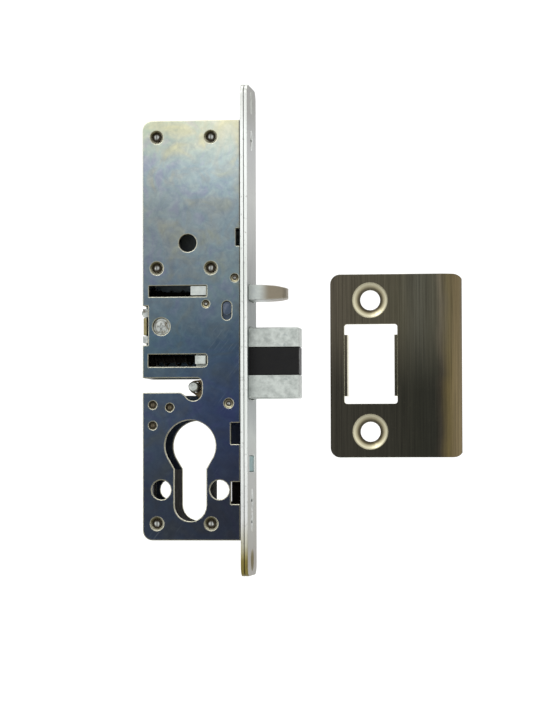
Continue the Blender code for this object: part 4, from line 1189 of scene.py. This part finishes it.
class MORTISE_OT_faceplate(bpy.types.Operator):
    """Finish the faceplate and the forend behind it"""

    bl_idname = "mortise.faceplate"
    bl_label = "Grind the faceplate"

    def execute(self, context):
        finishes = context.scene.mortise_finishes
        low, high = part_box("faceplate")
        face_stops = (
            (0.0, paint(120, 116, 106)),
            (0.03, paint(105, 99, 88)),
            (0.11, paint(128, 128, 118)),
            (0.19, paint(138, 139, 134)),
            (0.28, paint(150, 156, 151)),
            (0.33, paint(124, 131, 129)),
            (0.53, finishes.face_dark),
            (0.62, paint(118, 120, 118)),
            (0.68, paint(140, 142, 139)),
            (0.77, paint(162, 164, 160)),
            (0.87, paint(152, 154, 153)),
            (0.95, paint(117, 118, 111)),
            (1.0, paint(120, 120, 114)),
        )
        edge_stops = (
            (0.0, finishes.face_stain),
            (0.03, paint(118, 107, 58)),
            (0.045, paint(140, 132, 92)),
            (0.07, paint(170, 168, 150)),
            (0.12, paint(204, 206, 204)),
            (0.25, paint(218, 222, 218)),
            (0.6, paint(222, 226, 222)),
            (0.9, finishes.face_light),
            (1.0, paint(206, 208, 202)),
        )
        steel = drawn_steel("Ground faceplate", "Z", (low.z, high.z), "X", face_stops, edge_stops,
                            lines=(900.0, 900.0, 40.0), line_contrast=0.12, rough=0.38, speck=0.35,
                            low_stops=face_stops, low_span=(low.z, high.z), rings=())
        for node in ("faceplate", "forend"):
            dress(node, steel)
        return {"FINISHED"}


class MORTISE_OT_bolts(bpy.types.Operator):
    """Finish the latch bolt, its hardened insert and the trigger bolt"""

    bl_idname = "mortise.bolts"
    bl_label = "Finish the bolts"

    def execute(self, context):
        finishes = context.scene.mortise_finishes
        cast = mottled_metal("Cast bolt", finishes.bolt_light, finishes.bolt_dark, paint(128, 138, 140),
                             scale=420.0, stain_share=0.2, rough=0.42, metallic=0.75, rim=paint(222, 224, 218))
        dress("latch_bolt", cast)
        nose_toning = (NOSE_TONE_START, NOSE_TONE_FULL, finishes.nose)
        nose = mottled_metal("Rubbed trigger", finishes.bolt_light, paint(172, 178, 176), paint(150, 156, 152),
                             scale=420.0, stain_share=0.15, rough=0.4, metallic=0.75, rim=paint(226, 226, 218),
                             along_x=nose_toning)
        dress("trigger_bolt", nose)
        pad = mottled_metal("Hardened insert", finishes.pad, paint(28, 28, 29), paint(42, 43, 47),
                            scale=260.0, stain_share=0.2, rough=0.5, metallic=0.85, rim=paint(50, 50, 50))
        dress("latch_insert", pad)
        return {"FINISHED"}


class MORTISE_OT_fastenings(bpy.types.Operator):
    """Finish the rivets, pins and screws"""

    bl_idname = "mortise.fastenings"
    bl_label = "Turn the fastenings"

    def execute(self, context):
        finishes = context.scene.mortise_finishes
        bright = mottled_metal("Turned steel", finishes.steel, paint(140, 146, 144), finishes.stain_and_shade,
                               scale=520.0, stain_share=0.45, rough=0.36, metallic=0.85, rim=paint(222, 222, 210))
        for node in sorted(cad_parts):
            if node.startswith("case_rivet") or "guide_pin" in node:
                peened = peened_end("Peened " + node.replace("_", " "), node, finishes.steel, finishes.groove,
                                    finishes.rivet_ring, finishes.stain_and_shade)
                dress(node, peened)
        for node in ("front_block_top", "front_block_bottom", "faceplate_screw_top", "faceplate_screw_bottom",
                     "cylinder_screw", "anchor_block", "anchor_screw", "drive_pin", "drive_lever_pivot"):
            dress(node, bright)
        return {"FINISHED"}


class MORTISE_OT_working_parts(bpy.types.Operator):
    """Finish the drive lever, springs and rods, cylinder screw block, anchor strip and window insert"""

    bl_idname = "mortise.working_parts"
    bl_label = "Finish the working parts"

    def execute(self, context):
        finishes = context.scene.mortise_finishes
        oiled = mottled_metal("Oiled steel", finishes.oiled, paint(82, 70, 52), paint(52, 44, 34),
                              scale=380.0, stain_share=0.4, rough=0.34, metallic=0.7, rim=paint(176, 164, 134))
        dress("drive_lever", oiled)
        for node in ("bracket_rivet_rear", "bracket_rivet_front", "bracket_rivet_low"):
            peened = peened_end("Peened " + node.replace("_", " "), node, paint(104, 96, 78), finishes.groove,
                                paint(176, 172, 152), paint(84, 80, 70))
            dress(node, peened)
        # Painted shade: the inner pieces are near-black and dull so that they stand for the shade inside the case
        inner_steel_shade = mottled_metal("Greased steel", paint(24, 22, 19), paint(14, 13, 11), paint(10, 9, 8),
                              scale=300.0, stain_share=0.35, rough=0.8, metallic=0.0, rim=paint(40, 37, 32),
                              shine=0.05)
        for node in ("cylinder_screw_block", "cylinder_guide", "latch_spring_rod", "trigger_spring_rod"):
            dress(node, inner_steel_shade)
        wire = mottled_metal("Spring wire", paint(22, 20, 17), paint(12, 11, 9), paint(9, 8, 6),
                             scale=600.0, stain_share=0.3, rough=0.5, metallic=0.5, rim=paint(32, 30, 24),
                             shine=0.15)
        wound_spring("latch_coil", "latch_spring", LATCH_WIRE, LATCH_TURNS, wire)
        wound_spring("trigger_coil", "trigger_spring", TRIGGER_WIRE,
                     TRIGGER_TURNS, wire)
        brass = mottled_metal("Anchor strip brass", finishes.brass, paint(120, 112, 78), paint(92, 84, 56),
                              scale=340.0, stain_share=0.3, rough=0.34, metallic=0.85, rim=paint(206, 200, 164))
        dress("anchor_strip", brass)
        moulded = mottled_metal("Moulded insert", finishes.insert, paint(72, 104, 106), paint(116, 146, 142),
                                scale=300.0, stain_share=0.3, rough=0.45, metallic=0.0, rim=paint(150, 178, 172))
        dress("window_insert", moulded)
        return {"FINISHED"}


class MORTISE_OT_strike(bpy.types.Operator):
    """Finish the strike plate"""

    bl_idname = "mortise.strike"
    bl_label = "Smoke the strike plate"

    def execute(self, context):
        finishes = context.scene.mortise_finishes
        low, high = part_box("strike_plate")
        face_stops = (
            (0.0, paint(76, 71, 60)),
            (0.53, finishes.strike_mid),
            (0.68, paint(74, 73, 63)),
            (0.8, paint(72, 70, 58)),
            (0.84, paint(90, 84, 70)),
            (0.91, paint(90, 82, 58)),
            (1.0, paint(104, 92, 70)),
        )
        # Painted shade: these stops darken the lower part of the plate, while the face stops keep the upper part
        # lighter as painted light, with a painted highlight band where the lip starts
        low_stops = (
            (0.0, paint(50, 48, 41)),
            (0.53, finishes.strike_dark),
            (0.68, paint(38, 38, 31)),
            (0.8, paint(36, 36, 30)),
            (0.84, paint(50, 46, 38)),
            (0.91, paint(92, 81, 50)),
            (1.0, finishes.strike_lip),
        )
        # Painted highlight on the edges of the plate
        edge_stops = (
            (0.0, paint(120, 114, 92)),
            (0.15, finishes.strike_ring),
            (0.6, finishes.strike_ring),
            (0.8, paint(96, 86, 62)),
            (1.0, paint(112, 99, 72)),
        )
        hole_x = low.x + STRIKE_HOLE_IN
        # Painted highlight on the lower side of each countersink, and painted shade next to the hole
        ring_stops = (
            (0.0, paint(40, 36, 28)),
            (0.56, paint(52, 47, 36)),
            (0.66, paint(84, 77, 58)),
            (0.76, paint(176, 168, 138)),
            (0.86, finishes.strike_ring),
            (0.95, paint(190, 184, 156)),
            (1.0, paint(110, 103, 84)),
        )
        rings = [(hole_x, hole_z, STRIKE_SINK_REACH, ring_stops) for hole_z in STRIKE_HOLE_HEIGHTS]
        steel = drawn_steel("Smoked strike", "X", (low.x, high.x), "Y", face_stops, edge_stops,
                            lines=(1500.0, 700.0, 22.0), line_contrast=0.2, rough=0.33, speck=0.1,
                            low_stops=low_stops, low_span=(STRIKE_DARK_BELOW, STRIKE_LIGHT_ABOVE), rings=rings)
        dress("strike_plate", steel)
        return {"FINISHED"}


class MORTISE_OT_stage(bpy.types.Operator):
    """Set up the white floor and wall, the lights and the camera"""

    bl_idname = "mortise.stage"
    bl_label = "Set up the studio"

    def add_tent(self, studio):
        """One turned sheet: a round floor that curves up into a wall."""
        flat_radius = studio.tent_radius - TENT_BEND
        outline = [(flat_radius, 0.0)]
        for step in range(1, TENT_BEND_STEPS + 1):
            turn = math.radians(90) * step / TENT_BEND_STEPS
            outline.append((flat_radius + TENT_BEND * math.sin(turn), TENT_BEND - TENT_BEND * math.cos(turn)))
        outline.append((studio.tent_radius, TENT_HEIGHT))
        mesh = bpy.data.meshes.new("floor_and_wall")
        sheet = bmesh.new()
        rows = []
        for radius, height in outline:
            row = []
            for side in range(TENT_SIDES):
                turn = math.tau * side / TENT_SIDES
                place = (radius * math.cos(turn), radius * math.sin(turn), studio.floor_height + height)
                row.append(sheet.verts.new(place))
            rows.append(row)
        for lower, upper in zip(rows, rows[1:]):
            for side in range(TENT_SIDES):
                after = (side + 1) % TENT_SIDES
                sheet.faces.new((lower[side], lower[after], upper[after], upper[side]))
        sheet.faces.new(rows[0])
        bmesh.ops.recalc_face_normals(sheet, faces=sheet.faces)
        for face in sheet.faces:
            face.smooth = True
        sheet.to_mesh(mesh)
        sheet.free()
        tent = bpy.data.objects.new("floor_and_wall", mesh)
        bpy.context.scene.collection.objects.link(tent)
        mesh.materials.append(studio_white("Studio white", studio.tent_glow))

    def add_light(self, name, place, width, power):
        """One square soft light aimed at the middle of the object."""
        data = bpy.data.lights.new(name, "AREA")
        data.shape = "SQUARE"
        data.size = width
        data.energy = power
        light = bpy.data.objects.new(name, data)
        light.location = place
        light.rotation_mode = "QUATERNION"
        light.rotation_quaternion = (Vector(LIGHT_TARGET) - Vector(place)).to_track_quat("-Z", "Y")
        bpy.context.scene.collection.objects.link(light)

    def add_camera(self, studio):
        """The camera, turned, tilted and rolled as the settings say."""
        turn, tilt, roll = studio.camera_turn
        ahead = Vector((-math.sin(turn) * math.cos(tilt), math.cos(turn) * math.cos(tilt), math.sin(tilt)))
        right = ahead.cross(Vector((0, 0, 1))).normalized()
        above = right.cross(ahead)
        right_rolled = right * math.cos(roll) + above * math.sin(roll)
        above_rolled = above * math.cos(roll) - right * math.sin(roll)
        data = bpy.data.cameras.new("Camera")
        data.sensor_width = 36.0
        data.lens = studio.focal_length
        data.clip_start = 0.01
        data.clip_end = 50.0
        camera = bpy.data.objects.new("Camera", data)
        axes = Matrix((right_rolled, above_rolled, -ahead)).transposed()
        camera.matrix_world = Matrix.Translation(studio.camera_place) @ axes.to_4x4()
        bpy.context.scene.collection.objects.link(camera)
        bpy.context.scene.camera = camera

    def execute(self, context):
        studio = context.scene.mortise_studio
        self.add_tent(studio)
        self.add_camera(studio)
        self.add_light("Key light", KEY_LIGHT_PLACE, KEY_LIGHT_WIDTH, studio.key_power)
        self.add_light("Top light", TOP_LIGHT_PLACE, TOP_LIGHT_WIDTH, studio.top_power)
        world = bpy.data.worlds.new("Studio air")
        world.use_nodes = True
        air = world.node_tree.nodes["Background"]
        air.label = "Studio air"
        air.inputs["Color"].default_value = (1.0, 1.0, 1.0, 1.0)
        air.inputs["Strength"].default_value = AIR_BRIGHTNESS
        world.node_tree.nodes["World Output"].label = "World"
        context.scene.world = world
        context.scene.view_settings.view_transform = "Standard"
        return {"FINISHED"}


class MORTISE_PT_panel(bpy.types.Panel):
    """Lists the settings and the steps in the sidebar"""

    bl_idname = "MORTISE_PT_panel"
    bl_label = "Mortise Lock"
    bl_space_type = "VIEW_3D"
    bl_region_type = "UI"
    bl_category = "Mortise Lock"

    def draw(self, context):
        layout = self.layout
        for settings in (context.scene.mortise_rear, context.scene.mortise_front,
                         context.scene.mortise_finishes, context.scene.mortise_studio):
            box = layout.box()
            for name in settings.bl_rna.properties.keys():
                if name not in {"rna_type", "name"}:
                    box.prop(settings, name)
        for step in STEPS:
            layout.operator(step.bl_idname)


STEPS = (
    MORTISE_OT_case,
    MORTISE_OT_faceplate,
    MORTISE_OT_bolts,
    MORTISE_OT_fastenings,
    MORTISE_OT_working_parts,
    MORTISE_OT_strike,
    MORTISE_OT_stage,
)

CLASSES = (
    MORTISE_PG_cover_rear,
    MORTISE_PG_cover_front,
    MORTISE_PG_finishes,
    MORTISE_PG_studio,
    *STEPS,
    MORTISE_PT_panel,
)


def register():
    for item in CLASSES:
        bpy.utils.register_class(item)
    bpy.types.Scene.mortise_rear = PointerProperty(type=MORTISE_PG_cover_rear)
    bpy.types.Scene.mortise_front = PointerProperty(type=MORTISE_PG_cover_front)
    bpy.types.Scene.mortise_finishes = PointerProperty(type=MORTISE_PG_finishes)
    bpy.types.Scene.mortise_studio = PointerProperty(type=MORTISE_PG_studio)


def unregister():
    del bpy.types.Scene.mortise_studio
    del bpy.types.Scene.mortise_finishes
    del bpy.types.Scene.mortise_front
    del bpy.types.Scene.mortise_rear
    for item in reversed(CLASSES):
        bpy.utils.unregister_class(item)


def main():
    """Runs every step in turn."""
    register()
    bpy.ops.mortise.case()
    bpy.ops.mortise.faceplate()
    bpy.ops.mortise.bolts()
    bpy.ops.mortise.fastenings()
    bpy.ops.mortise.working_parts()
    bpy.ops.mortise.strike()
    bpy.ops.mortise.stage()


if __name__ == "__main__":
    main()
